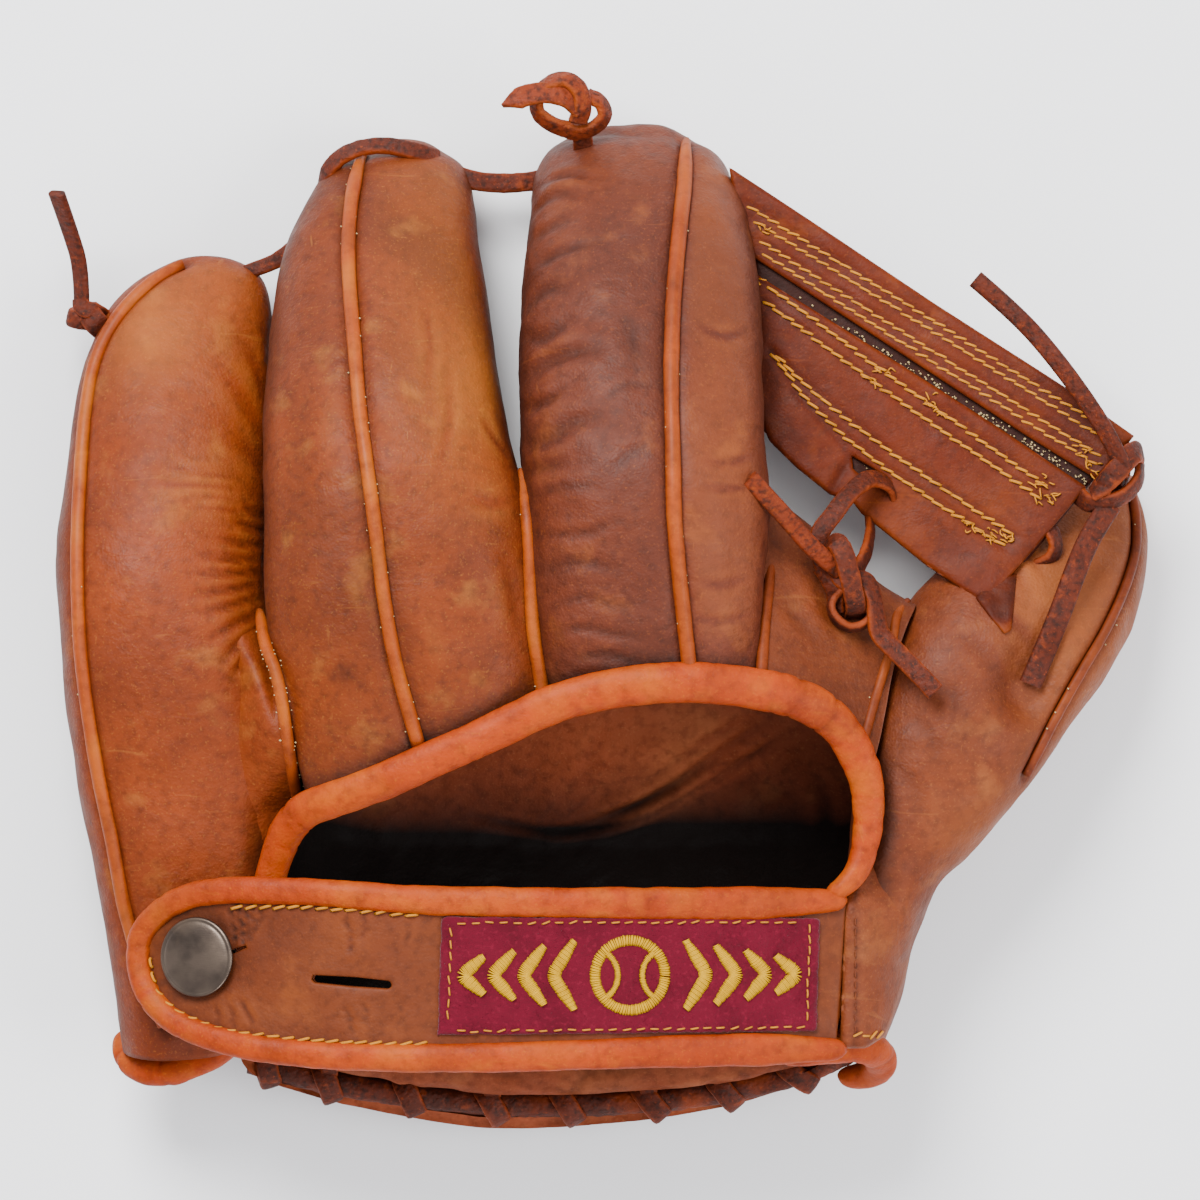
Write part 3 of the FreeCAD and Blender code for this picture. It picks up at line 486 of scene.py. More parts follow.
def leather(name, base, dark, light, patch=0.8, grain=1.0, roughness=(0.5, 0.7), coat=0.02, warm=None,
            gloss=0.17):
    """Oiled leather: cloudy pull-up colour, scuffs, pores and creases, and the points' tone, which paints
    shade and light.
    """
    s = Shade(name, roughness, Coat_Weight=coat, Coat_Roughness=0.4, Specular_IOR_Level=gloss)
    s.paint(srgb(*base))
    s.paint(srgb(*dark), s.ranged(s.noise(14, 5, distortion=0.8), 0.44, 0.66, 0, patch))
    s.paint(srgb(*(warm or light)), s.ranged(s.noise(19, 6, offset=0.31, distortion=0.6), 0.5, 0.7, 0,
                                             patch * 0.8))
    s.paint(srgb(*dark), s.ranged(s.noise(48, 6, offset=2.3, distortion=1.2), 0.5, 0.72, 0, patch * 0.7))
    s.paint(srgb(*light), s.ranged(s.noise(80, 7, offset=0.7), 0.58, 0.76, 0, 0.6))
    s.paint(srgb(*(c * 0.78 for c in dark)), s.ranged(s.noise(420, 6), 0.46, 0.78, 0, 0.6))
    s.paint(srgb(*light), s.ranged(s.noise(1500, 3, offset=0.2), 0.58, 0.8, 0, 0.55))
    s.paint(srgb(*light), s.ranged(s.noise(42, 5, (1, 8, 2), 1.0, offset=1.7), 0.66, 0.78, 0, 0.5))
    s.paint(srgb(*light), s.ranged(s.noise(55, 4, (9, 1.5, 2), 1.5, offset=4.1), 0.7, 0.78, 0, 0.5))
    # the points' tone: below 0 it darkens the colour towards near black, painted shade where it marks shade;
    # above 0 it pales it, painted light where it marks light
    s.paint(srgb(*(c * 0.14 for c in dark)), s.ranged(s.tone(), 0.0, -1.0, 0, 1))
    s.paint(srgb(*(min(255, c * 1.18) for c in light)), s.ranged(s.tone(), 0.0, 1.0, 0, 0.8))
    s.bump(s.cells(1400), 0.16 * grain, 0.0004)
    s.bump(s.noise(650, 5), 0.24 * grain, 0.0005)
    s.bump(s.noise(150, 6, (1, 1.6, 1), 0.8), 0.2 * grain, 0.0014)
    return s.done()


def rough_lace(name, base, dark, light):
    """Rawhide lace: fibrous and matt, with paler worn edges."""
    s = Shade(name, (0.55, 0.75), Specular_IOR_Level=0.2)
    s.paint(srgb(*base))
    s.paint(srgb(*dark), s.ranged(s.noise(90, 5), 0.45, 0.75, 0, 0.8))
    s.paint(srgb(*light), s.ranged(s.noise(300, 4, offset=0.5), 0.58, 0.8, 0, 0.7))
    s.paint(srgb(*(c * 0.62 for c in dark)), s.ranged(s.noise(620, 6, offset=1.1), 0.46, 0.66, 0, 0.75))
    s.paint(srgb(*light), s.ranged(s.noise(1300, 4, offset=2.1), 0.6, 0.78, 0, 0.6))
    s.paint(srgb(*light), s.ranged(s.tone(), 0.1, 0.7, 0, 0.85))
    s.paint(srgb(*(c * 0.4 for c in dark)), s.ranged(s.tone(), 0.0, -1.0, 0, 1))
    s.bump(s.noise(900, 6), 0.8, 0.0006)
    s.bump(s.noise(260, 5), 0.5, 0.0009)
    return s.done()


SHELL = leather("leather_little_finger", (168, 90, 56), (128, 66, 44), (210, 142, 98), 0.75, grain=1.2,
                warm=(186, 99, 48))
MIDDLE = leather("leather_middle_finger", (152, 83, 56), (112, 61, 46), (206, 144, 98), 0.8, grain=1.2,
                 warm=(176, 96, 52))
INDEX = leather("leather_index_finger", (132, 76, 68), (104, 60, 56), (184, 118, 92), 0.7, grain=1.5,
                warm=(150, 86, 70))
THUMB = leather("leather_thumb", (156, 91, 73), (122, 68, 56), (198, 134, 106), 0.75, grain=1.4,
                warm=(170, 101, 74))
WEB = leather("leather_web", (122, 58, 36), (92, 42, 28), (166, 96, 60), 0.55, grain=1.0, gloss=0.12)
STRAP = leather("leather_strap", (136, 78, 58), (112, 62, 46), (170, 104, 74), 0.5, grain=0.7)
TRIM = leather("leather_trim", (220, 108, 8), (188, 84, 8), (244, 150, 38), 0.55, grain=1.2, coat=0.03,
               gloss=0.14)
WELT = leather("leather_welt", (204, 112, 48), (170, 84, 38), (230, 146, 74), 0.5, grain=0.5, coat=0.06)
WELT_DARK = leather("leather_welt_dark", (162, 86, 52), (120, 60, 38), (196, 116, 70), 0.5, grain=0.5)
LINING = leather("leather_lining", (186, 114, 104), (134, 74, 66), (212, 148, 130), 0.6, grain=1.3,
                 gloss=0.05)
LACE = rough_lace("leather_lace", (112, 54, 34), (76, 36, 24), (200, 106, 50))
LACE_PALE = rough_lace("leather_lace_pale", (158, 78, 42), (82, 40, 24), (206, 118, 60))


def thread_material(name, base, dark, light):
    """Shiny thread, in linear colours."""
    s = Shade(name, (0.4, 0.55), Sheen_Weight=0.0, Specular_IOR_Level=0.1)
    s.paint((*base, 1))
    s.paint((*dark, 1), s.ranged(s.noise(260, 3), 0.5, 0.75, 0, 0.7))
    s.paint((*light, 1), s.ranged(s.noise(1800, 2, (1, 4, 1)), 0.5, 0.8, 0, 0.6))
    s.bump(s.noise(2600, 2, (1, 3, 1)), 0.5, 0.0002)
    return s.done()


THREAD = thread_material("gold_thread", (0.40, 0.15, 0.012), (0.22, 0.075, 0.006), (0.52, 0.225, 0.03))
SATIN = thread_material("yellow_thread", (0.46, 0.245, 0.0), (0.32, 0.15, 0.0), (0.58, 0.33, 0.0))


def dust_material():
    """Pale wax dust."""
    s = Shade("pale_dust", (0.8, 0.9))
    s.paint(srgb(236, 214, 184))
    s.bump(s.noise(3000, 2), 0.3)
    return s.done()


DUST = dust_material()


def felt_material():
    """Crimson wool felt."""
    s = Shade("crimson_felt", (0.85, 0.97), Sheen_Weight=0.15, Sheen_Roughness=0.5, Specular_IOR_Level=0.1)
    s.paint((0.092, 0.001, 0.010, 1))
    s.paint((0.055, 0.001, 0.006, 1), s.ranged(s.noise(120, 5), 0.45, 0.75, 0, 0.8))
    s.paint((0.17, 0.006, 0.022, 1), s.ranged(s.noise(900, 4, offset=0.4), 0.55, 0.8, 0, 0.6))
    s.bump(s.noise(1300, 5), 0.7, 0.0006)
    s.bump(s.noise(300, 4), 0.3, 0.0008)
    return s.done()


FELT = felt_material()


def bronze_material():
    """Dark, rubbed metal."""
    s = Shade("dark_bronze", (0.3, 0.5), Metallic=1.0)
    s.paint((0.12, 0.09, 0.07, 1))
    s.paint((0.055, 0.042, 0.036, 1), s.ranged(s.noise(140, 5), 0.42, 0.7, 0, 0.9))
    s.paint((0.2, 0.13, 0.08, 1), s.ranged(s.noise(60, 6, offset=0.5), 0.56, 0.75, 0, 0.6))
    s.bump(s.noise(500, 3, (1, 7, 1)), 0.12, 0.0002)
    s.bump(s.noise(1500, 2), 0.08, 0.0002)
    return s.done()


BRONZE = bronze_material()

# ---------------------------------------------------------------- the stalls

THUMB_BEND = dict(start=row((66, -52, 34)), end=row((104, -18, 34)))


def loft(table, tip, count=170, around=128, power=2.35):
    """A stall from (left x, y, right x, y, middle's height, half depth) rows, with a dome up to tip."""
    first, end = np.array(table[0], float), np.array(tip, float)
    half = (first[2:4] - first[0:2]) / 2
    top = [np.r_[end[:2] - half * 0.03, end[:2] + half * 0.03, end[2], first[5] * 0.03]]
    for share, rise in ((0.36, 0.93), (0.68, 0.72)):
        middle = (first[0:2] + first[2:4]) / 2 * (1 - rise) + end[:2] * rise
        top.append(np.r_[middle - half * share, middle + half * share,
                         first[4] * (1 - rise) + end[2] * rise, first[5] * share * 1.1])
    rows = spline(np.vstack([top, np.array(table, float)]), count)
    rows[:, 5] = np.maximum(rows[:, 5], 0.05)
    middle = np.c_[(rows[:, 0:2] + rows[:, 2:4]) / 2, rows[:, 4]]
    half = np.c_[(rows[:, 2:4] - rows[:, 0:2]) / 2, np.zeros(len(rows))]
    spine = unit(np.gradient(middle, axis=0))
    for _ in range(6):
        spine = unit(spine + np.vstack([spine[:1], spine[:-1]]) + np.vstack([spine[1:], spine[-1:]]))
    rise = unit(np.cross(unit(half), spine))
    rise *= np.sign(rise[:, 2:3])
    x, y = rounded_section(around, power)
    verts = middle[:, None] + half[:, None] * x[None, :, None] + rise[:,
    None] * (y[None] * rows[:, 5:6])[..., None]
    verts = verts.reshape(-1, 3)
    faces = grid_faces(len(rows), around, True)[:, ::-1]
    skin = Skin(verts, faces)
    middles = np.repeat(middle, around, 0)
    if ((verts - middles) * skin.normals).sum() < 0:
        skin.flip()
    return skin


def stall(name, skin, material, slot, around=128):
    """A stall's skin, its open heel end closed by a shallow hollow, darkened as painted shade."""
    verts, count = skin.verts, len(skin.verts)
    rim = verts[-around:]
    middle = rim.mean(0)
    inward = verts[-4 * around:-3 * around].mean(0) - middle
    inner = middle + (rim - middle) * 0.82 + inward * 0.5
    hub = middle + inward
    ring = np.arange(count - around, count)
    after = np.roll(ring, -1)
    fold = [(a, b, b + around, a + around) for a, b in zip(ring, after)]
    fan = [(a + around, b + around, count + around) for a, b in zip(ring, after)]
    first = np.cross(verts[after[0]] - verts[ring[0]], inner[1] - verts[ring[0]])
    if np.dot(first, inward) > 0:
        fold = [face[::-1] for face in fold]
        fan = [face[::-1] for face in fan]
    faces = [tuple(face) for face in skin.faces] + fold + fan
    # painted shade: the hollow's tone
    tone = np.r_[skin.tone, np.full(around + 1, -0.5)]
    return build(name, np.vstack([verts, inner, hub]), faces, material, slot, tone)


def piping(name, skin, points, radius, sink, node, seed, dusty, bend=None, material=WELT):
    """Welt piping let into a skin along plan points, with its groove, darkened as painted shade, and its pale
    wax dust.
    """
    line, normals = skin.drop(spline(points, 70))
    for _ in range(3):
        line[1:-1] = (line[:-2] + 2 * line[1:-1] + line[2:]) / 4
    # painted shade in the welt's groove
    skin.press(line, 3.0, 0.825, -0.22)
    skin.press(line, 1.7, 1.125, -0.55)
    centre = line - normals * sink
    wide = 2 * radius * (1 + 0.07 * fbm(centre, 14, seed))
    wide = wide * np.clip(np.linspace(0.35, 12, len(wide)), 0, 1) ** 0.5
    verts, faces, _ = sweep(centre, wide, 2 * radius * 0.98, normals, 14, 2, 0.06, seed)
    welt = build(name, verts, faces, material, "trim_leather", fbm(verts, 9, seed) * 0.35)
    side = unit(np.cross(np.gradient(line, axis=0), normals))
    specks = []
    for _ in range(int(dusty * 120)):
        k = int(len(line) * rng.beta(1.3, 1.0) * 0.999)
        spot = line[k] + side[k] * rng.choice((-1, 1)) * rng.normal(1.75, 0.25) + normals[k] * 0.15
        specks.append(grain(spot, rng.uniform(0.14, 0.34)))
    dust = build(name + "_dust", *joined(specks)[:2], DUST, "thread")
    for piece in (welt, dust):
        attach(piece, "hand", bend)
    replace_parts(welt, node)


def blunt(skin, start, end):
    """Presses the part of a stall beyond y = start back, so that its rounded tip reaches y = end."""
    y = skin.verts[:, 1]
    reach = y.max() - start
    share = np.clip((y - start) / reach, 0, 1)
    squeeze = 1 - (end - start) / reach
    skin.verts[:, 1] = np.where(y > start, start + reach * (share - squeeze * share ** 2), y)
    skin.refresh()


little = loft([
    (-110, 84, -88.5, 84, 11, 8.5), (-117.5, 79, -84.5, 80, 13, 12), (-122.8, 73, -83, 73, 15, 14.5),
    (-128.2, 62, -82.8, 62, 19, 17), (-132, 47, -82.6, 47, 24, 19), (-134.6, 25, -82.9, 25, 30, 21),
    (-135.2, 5, -82.7, 3, 34, 22.5), (-133.8, -15, -80.5, -15, 36, 22.5),
    (-131.4, -35, -77.2, -35, 35.5, 21.5),
    (-128.6, -55, -76.5, -53, 34.5, 20.5), (-125.4, -75, -79, -73, 33.5, 19),
    (-122.6, -92, -83, -92, 32.5, 18.2),
    (-119.8, -112, -89.5, -111, 28.5, 15.8)], (-99.5, 86.3, 9.5))
middle = loft([
    (-60, 113.5, -40.5, 113.5, 10, 8), (-67, 108, -34.5, 108, 12, 12), (-73, 100, -31.5, 99, 16.5, 15.5),
    (-78, 90, -30.3, 88, 21.5, 18.5), (-81, 77, -28.3, 75, 29, 20.5), (-82.3, 60, -26, 59, 38, 22.5),
    (-82.8, 42, -22.5, 42, 47, 24), (-82.9, 22, -18.4, 24, 54, 24), (-82.9, 3, -17, 6, 58, 21.5),
    (-81, -15, -15.9, -8, 60, 18), (-78.2, -30, -14.6, -17, 60, 15), (-73, -49, -12.5, -25, 60, 12.5)],
    (-50, 116.4, 8.4))
index = loft([
    (-6.5, 117, 21.5, 116.8, 10.5, 9), (-13, 112.5, 29.3, 111, 12.5, 13), (-16.6, 104, 34.3, 102, 17.5, 17),
    (-18, 90, 37.5, 90, 26, 20.5), (-19.5, 75, 39.6, 75, 36, 22.5), (-20, 58, 40.4, 57, 45, 23.5),
    (-19.8, 42, 41.6, 41, 52, 24), (-18.4, 24, 42.6, 26, 58, 23), (-17, 8, 41.4, 12, 61, 20),
    (-15.4, -8, 40, 0, 62, 17.5), (-14, -17, 39.4, -12, 62, 15), (-12.5, -24, 40, -25, 62, 13)],
    (8, 119.8, 8.5))
blunt(little, 74, 86.6)
blunt(middle, 103, 115.9)
blunt(index, 106, 119.3)
thumb = loft([
    (125, 28.5, 134.5, 27.5, 10, 8.5), (110, 25, 136.5, 14, 14.5, 13), (97, 17.5, 134.6, -2, 20, 17.5),
    (86, 8.5, 127.5, -17.5, 26.5, 20), (76, -1.5, 118, -31, 31, 21), (71, -12.5, 109.5, -43.5, 33.5, 21.5),
    (67.5, -25, 101, -54, 35, 21.5), (64.5, -38.5, 92.5, -64, 35.5, 21.5),
    (63, -51, 85.5, -70.5, 35.5, 21.5),
    (62, -63, 81.5, -79, 35.5, 21.5), (61, -76, 78.3, -88, 35, 21), (60.5, -92, 75, -101, 33, 19),
    (60, -110, 70.5, -111.5, 30.5, 16.5)], (131.5, 31.5, 9.5))

for skin, seed in ((little, 11), (middle, 21), (index, 31), (thumb, 41)):
    skin.rumple(42, 0.9, seed)
    skin.refresh()

# folds: the little finger gathers where it meets the middle one, and bends across its middle
GATHERS = (
    (14, 13, 2), (10.5, 17, 1), (7.5, 19, -1), (4, 20, -2.5), (1, 19, -5), (-2.5, 16, -8), (-6, 13, -11),
    (17.5, 9, 3), (-9, 10, -12), (21, 7, 3.5))
for y0, reach, rise in GATHERS:
    little.crease([(-82.6, y0), (-82.6 - reach * 0.45, y0 + rise * 0.3 - 0.6), (-82.6 - reach, y0 + rise)],
                  0.95, 0.75, -0.42, 0.5)
BENDS = (
    (28.5, -117, -86, 1.5), (25.2, -113, -88, -1), (31.5, -110, -87, 2.5), (22.6, -106, -86, 0.8))
for y0, x0, x1, bow in BENDS:
    little.crease([(x0, y0 + bow), ((x0 + x1) / 2, y0), (x1, y0 - bow * 0.4)], 0.9, 0.28, -0.14, 0.5)
for x0, y0, x1, y1 in ((-84, 40, -96, 60), (-83.5, 50, -90, 66), (-83, 31, -92, 41)):
    little.crease([(x0, y0), ((x0 + x1) / 2 + 1, (y0 + y1) / 2), (x1, y1)], 2.2, 0.35, -0.12, 0.3)
# the middle finger is nearly smooth, with two long soft dents
MIDDLE_DENTS = (
    ([(-38, 60), (-37, 45), (-40, 30)], 1.2, 0.3), ([(-44, 76), (-42, 62), (-43, 50)], 1.1, 0.25),
    ([(-33, 26), (-27, 24), (-21, 25)], 1.6, 0.4),
    ([(-30, 47), (-26, 40), (-22.8, 36)], 1.4, 0.4), ([(-72, 60), (-74, 40), (-74, 15)], 4.0, 0.5),
    ([(-24, 12), (-21, 2), (-20, -10)], 2.4, 0.6), ([(-50, 0), (-46, -12), (-42, -22)], 2.6, 0.3))
for points, width, depth in MIDDLE_DENTS:
    middle.crease(points, width, depth, -0.12, 0.3)
# the index finger is deeply folded down its left side
# folds are plan points, a width and a depth
INDEX_FOLDS = (
    ([(-16.5, 103), (-8, 107), (0, 106)], 1.5, 0.9), ([(-18.5, 96), (-11, 101), (-2, 101.5)], 1.6, 1.0),
    ([(-19, 88), (-12, 93.5), (-3, 96)], 1.8, 1.25),
    ([(-19.6, 80), (-13, 84.5), (-4, 88), (4, 89)], 1.8, 1.1),
    ([(-20, 72), (-14, 76), (-6, 78)], 1.6, 1.0), ([(-20.3, 64), (-14, 66.5), (-7, 71)], 1.9, 1.3),
    ([(-20.4, 55), (-13, 58.5), (-5, 61), (3, 61)], 2.0, 1.5),
    ([(-20.2, 47.5), (-14, 49.5), (-8, 52.5)], 1.8, 1.2),
    ([(-20, 39.5), (-13, 41), (-6, 44), (2, 44.5)], 2.0, 1.3),
    ([(-19.5, 31), (-13, 33), (-7, 33.5)], 1.6, 1.0),
    ([(-19, 24), (-12, 27), (-4, 27.5), (3, 26)], 1.4, 0.7),
    ([(-17.5, 15), (-11, 17.5), (-3, 17), (6, 19)], 1.3, 0.8),
    ([(-16.5, 6), (-9, 9), (0, 8.5), (8, 6)], 1.3, 0.75),
    ([(-14, -2), (-6, 0.5), (4, -1), (12, 1)], 1.2, 0.8),
    ([(-12, -9), (-3, -7.5), (7, -9.5), (14, -8)], 1.2, 0.8), ([(-8, -14), (2, -13), (10, -15)], 1.1, 0.7),
    ([(26, 35), (31, 34), (38, 36)], 1.0, 0.2), ([(25, 28), (32, 27.5), (39, 29)], 1.0, 0.2),
    ([(24, 68), (30, 66), (37, 68)], 1.0, 0.15),
    ([(5, 72), (8, 66), (9, 58)], 1.8, 0.5), ([(-1, 48), (6, 53), (12, 52)], 1.6, 0.5),
    ([(2, 31), (8, 36), (14, 35)], 1.5, 0.5),
    ([(23, 5), (29, 3), (36, 5)], 1.2, 0.35), ([(22, -4), (29, -6), (37, -4)], 1.2, 0.4))
for points, width, depth in INDEX_FOLDS:
    points = np.array(points) + rng.normal(0, 0.7, (len(points), 2))
    index.crease(points, width * rng.uniform(0.75, 1.15), depth * rng.uniform(0.45, 0.95), -0.32, 0.45)
THUMB_FOLDS = (
    ([(88, -8), (96, -14), (100, -24)], 2.2, 0.4), ([(80, -18), (88, -24), (92, -34)], 1.8, 0.35),
    ([(76, -28), (82, -34), (84, -44)], 1.6, 0.35), ([(96, -2), (104, -6), (110, -14)], 1.6, 0.35),
    ([(72, -40), (78, -46), (80, -56)], 1.8, 0.3), ([(74, -64), (71, -76), (70, -88)], 2.4, 0.4),
    ([(98, 12), (103, 8), (106, 2)], 1.4, 0.6), ([(101, 14), (107, 11), (111, 5)], 1.2, 0.5))
for points, width, depth in THUMB_FOLDS:
    thumb.crease(points, width, depth, -0.16, 0.35)
for skin, size, depth, seed in ((little, 9, 0.16, 51), (middle, 9, 0.16, 52), (index, 7, 0.32, 53),
                                (thumb, 8, 0.2, 54)):
    skin.rumple(size, depth, seed)
    skin.refresh()

# painted shade: the leather is darkened down its sides, which turn from the light, and in a band beside the
# wrist binding; then darker and paler spots, and painted light in places below
for skin, amount in ((little, 0.5), (middle, 0.5), (index, 0.42), (thumb, 0.08)):
    skin.tone -= amount * np.clip(1 - skin.normals[:, 2] / 0.62, 0, 1)
WRIST_EDGE = flat(spline([
    (-85, -66), (-81, -55), (-69, -46.5), (-45, -36), (-15, -22.8), (10, -16.4), (36, -16.8), (56, -23.4),
    (68, -38), (71, -56), (68, -72)], 160))
# painted shade beside the wrist binding
for skin in (little, middle, index, thumb):
    near = distance(flat(skin.verts), WRIST_EDGE)[0]
    skin.tone -= 0.5 * np.exp(-((near / 3.2) ** 2)) + 0.16 * np.exp(-((near / 11) ** 2))
DARK_AND_PALE_SPOTS = (
    (middle, -63, -18, 3.2, 0.5), (middle, -66, 22, 12, 0.3), (middle, -60, -2, 14, 0.25),
    (little, -98, 30, 12, -0.15),
    (little, -100, -30, 14, 0.12), (index, 12, 60, 11, 0.25), (thumb, 86, -30, 14, 0.2),
    (thumb, 112, 4, 9, -0.35),
    (thumb, 100, -62, 16, -0.3), (middle, -24, 56, 13, -0.32), (little, -112, 66, 10, -0.3))
for skin, x, y, size, amount in DARK_AND_PALE_SPOTS:
    away = ((skin.verts[:, 0] - x) ** 2 + (skin.verts[:, 1] - y) ** 2) / size ** 2
    skin.tone -= amount * np.exp(-away)
# painted sheen: the little finger pales towards its tip
little.tone += 0.22 * np.clip((little.verts[:, 1] - 40) / 45, 0, 1)
across, along, _ = middle.verts.T
# partly painted light and shade across the middle finger, paler right of its welt and darker left of it
# towards the tip, and partly the left panel's own darker leather
middle.tone += 0.2 * np.clip((across + 62) / 30, -1, 1) * np.clip((along - 10) / 40, 0, 1)
across, along, _ = index.verts.T
# the index finger is paler right of its welt, and paler towards its tip as painted sheen
index.tone += np.where(across > 19, 0.2, -0.06) + 0.14 * np.clip((along - 85) / 30, 0, 1)
# painted light: the thumb's right edge is paled
thumb.tone += 0.28 * np.clip((thumb.verts[:, 0] - 98) / 22, 0, 1)

# the short free end lies in a shallow groove that it has pressed into the thumb
tail_line = spline([(122.5, 17, 46), (118.5, 8, 47.5), (113.5, -6, 48.5), (106, -23, 48)], 40)
away, share = distance(thumb.verts * [1, 1, 0], tail_line * [1, 1, 0])
above = thumb.verts[:, 2] - (np.interp(share, np.linspace(0, 1, 40), tail_line[:, 2]) - 1.9)
pressed = np.clip((11 - away) / 8, 0, 1)
thumb.verts[:, 2] -= np.where(thumb.normals[:, 2] > 0.1,
                              np.clip(above, 0, 6) * pressed ** 2 * (3 - 2 * pressed), 0)
thumb.refresh()

piping("welt_little", little, [
    (-105, 84.6), (-110, 82.3), (-117.3, 76), (-122.8, 69), (-126.8, 60), (-128.7, 49), (-129.6, 36.5),
    (-130.1, 24), (-130.2, 8),
    (-129.5, -10), (-128.2, -22.5), (-126.3, -36), (-123.8, -49.6), (-121.4, -60.5), (-118.8, -76),
    (-114, -92), (-108.5, -106)],
    1.9, 0.5, "little_finger_welt", 61, 0.1)
piping("welt_middle", middle, [
    (-59.8, 112.6), (-61.7, 104), (-62.6, 94.5), (-62.7, 84.9), (-61.7, 72.2), (-60.4, 59.4), (-59.2, 46.7),
    (-57.9, 37.1), (-55.5, 20),
    (-53, 0), (-50.6, -14), (-47.5, -26), (-44.6, -36)], 1.8, 0.35, "middle_finger_welt", 62, 0.35)
piping("welt_index", index, [
    (21.6, 115), (21.2, 104.4), (20, 93.6), (18.7, 80.8), (17.9, 68), (17.6, 55.3), (18, 35), (18.3, 20),
    (19.3, 8), (20.6, -4), (22, -17)],
    1.95, 0.35, "index_finger_welt", 63, 0.15)
piping("welt_thumb", thumb, [
    (134, 27.5), (135, 21), (134.7, 13), (132.2, 4.5), (126.8, -7), (119.6, -19), (112.4, -32),
    (106.4, -43.8)],
    1.25, 0.4, "thumb_welt", 64, 0.06, THUMB_BEND, WELT_DARK)

for finger, name, skin, material, slot in (
        ("little_finger", "stall_little_finger", little, SHELL, "shell_leather"),
        ("middle_finger", "stall_middle_finger", middle, MIDDLE, "shell_leather"),
        ("index_finger", "stall_index_finger", index, INDEX, "dark_leather"),
        ("thumb", "stall_thumb", thumb, THUMB, "web_leather")):
    piece = stall(name, skin, material, slot)
    attach(piece, "hand", THUMB_BEND if skin is thumb else None)
    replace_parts(piece, finger + "_shell", finger + "_padding", finger + "_lining")
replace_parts(piece, "thumb_heel_shell", "thumb_heel_padding")


def free_piping(name, points, node, radius, seed, dusty, bend=None, material=WELT, dip=2.0):
    """Welt piping between two panels; its start dips out of sight between them."""
    line = spline(points, 60)
    line[:16, 2] -= dip * np.linspace(1, 0, 16) ** 1.6
    wide = 2 * radius * (1 + 0.06 * fbm(line, 12, seed)) * np.clip(np.linspace(0.5, 10, 60), 0, 1) ** 0.5
    verts, faces, _ = sweep(line, wide, 2 * radius, UP, 14, 2, 0.06, seed)
    welt = build(name, verts, faces, material, "trim_leather", fbm(verts, 9, seed) * 0.35)
    specks = []
    for _ in range(int(dusty * 90)):
        k = rng.integers(4, 58)
        side = unit(np.cross(line[k] - line[k - 1], UP))
        spot = line[k] + side * rng.choice((-1, 1)) * rng.normal(1.6, 0.2) + UP * 1.0
        specks.append(grain(spot, rng.uniform(0.14, 0.32)))
    dust = build(name + "_dust", *joined(specks)[:2], DUST, "thread")
    for piece in (welt, dust):
        attach(piece, "hand", bend)
    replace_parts(welt, node)


def height(skins, x, y):
    """The height of the highest of several skins at a plan point."""
    hits = [skin.tree.ray_cast(Vector((x, y, 200)), Vector((0, 0, -1)))[0] for skin in skins]
    return max((hit[2] for hit in hits if hit is not None), default=40.0)


FINGERS = (little, middle, index)
SEAM = np.array([(-84.4, -3.4), (-83.6, -7), (-82.4, -11.7), (-80.2, -17.1), (-78.4, -25.2), (-77, -36.1),
                 (-75.4, -47.5), (-74.6, -54)])
seam_heights = np.array([height(FINGERS, x + 3, y) for x, y in SEAM]) - 1.5
seam_heights = np.polyval(np.polyfit(SEAM[1:, 1], seam_heights[1:], 2), SEAM[:, 1])
free_piping("welt_little_middle", np.c_[SEAM, seam_heights], "little_middle_welt", 1.6, 72, 0.45, dip=9.0)
free_piping("welt_middle_index", [(x, y, height(FINGERS, x - 2, y) - 0.8) for x, y in (
    (-19.4, 31.5), (-18.4, 24), (-17.5, 14), (-17, 2), (-16.4, -8), (-14.6, -20), (-13.6, -26))],
    "middle_index_welt", 1.8, 73, 0.06, dip=6.0)

# ---------------------------------------------------------------- crotch between index finger and thumb

CROTCH_BEND = dict(start=row((57, -10, 45)), end=row((77, -4, 45)))


def panel_skin(rows, across=70, along=60):
    """A surface through rows of plan points, facing up, and its grid's size."""
    grid = np.array(rows, float)
    lines = np.stack([spline(grid[:, k], along) for k in range(grid.shape[1])], 1)
    face = np.stack([spline(line, across) for line in lines])
    skin = Skin(face.reshape(-1, 3), grid_faces(along, across))
    if skin.normals[:, 2].sum() < 0:
        skin.flip()
    return skin, (along, across)


def sheet(name, skin, shape, thick, material, body=None):
    """A leather sheet: a surface with a back and edges. shape is its grid's rows and columns."""
    along, across = shape
    count = len(skin.verts)
    back = skin.verts - skin.normals * thick
    last = (along - 1) * across
    rim = np.r_[np.arange(across), np.arange(1, along) * across + across - 1,
                last + np.arange(across - 2, -1, -1), np.arange(along - 2, 0, -1) * across]
    edge = np.stack([rim, np.roll(rim, -1), np.roll(rim, -1) + count, rim + count], 1)
    faces = np.vstack([skin.faces, skin.faces[:, ::-1] + count, edge])
    tone = np.r_[skin.tone, skin.tone]
    return build(name, np.vstack([skin.verts, back]), faces, material, "shell_leather", tone, body)


BRIDGE_ROWS, BRIDGE_COLUMNS = 52, 24


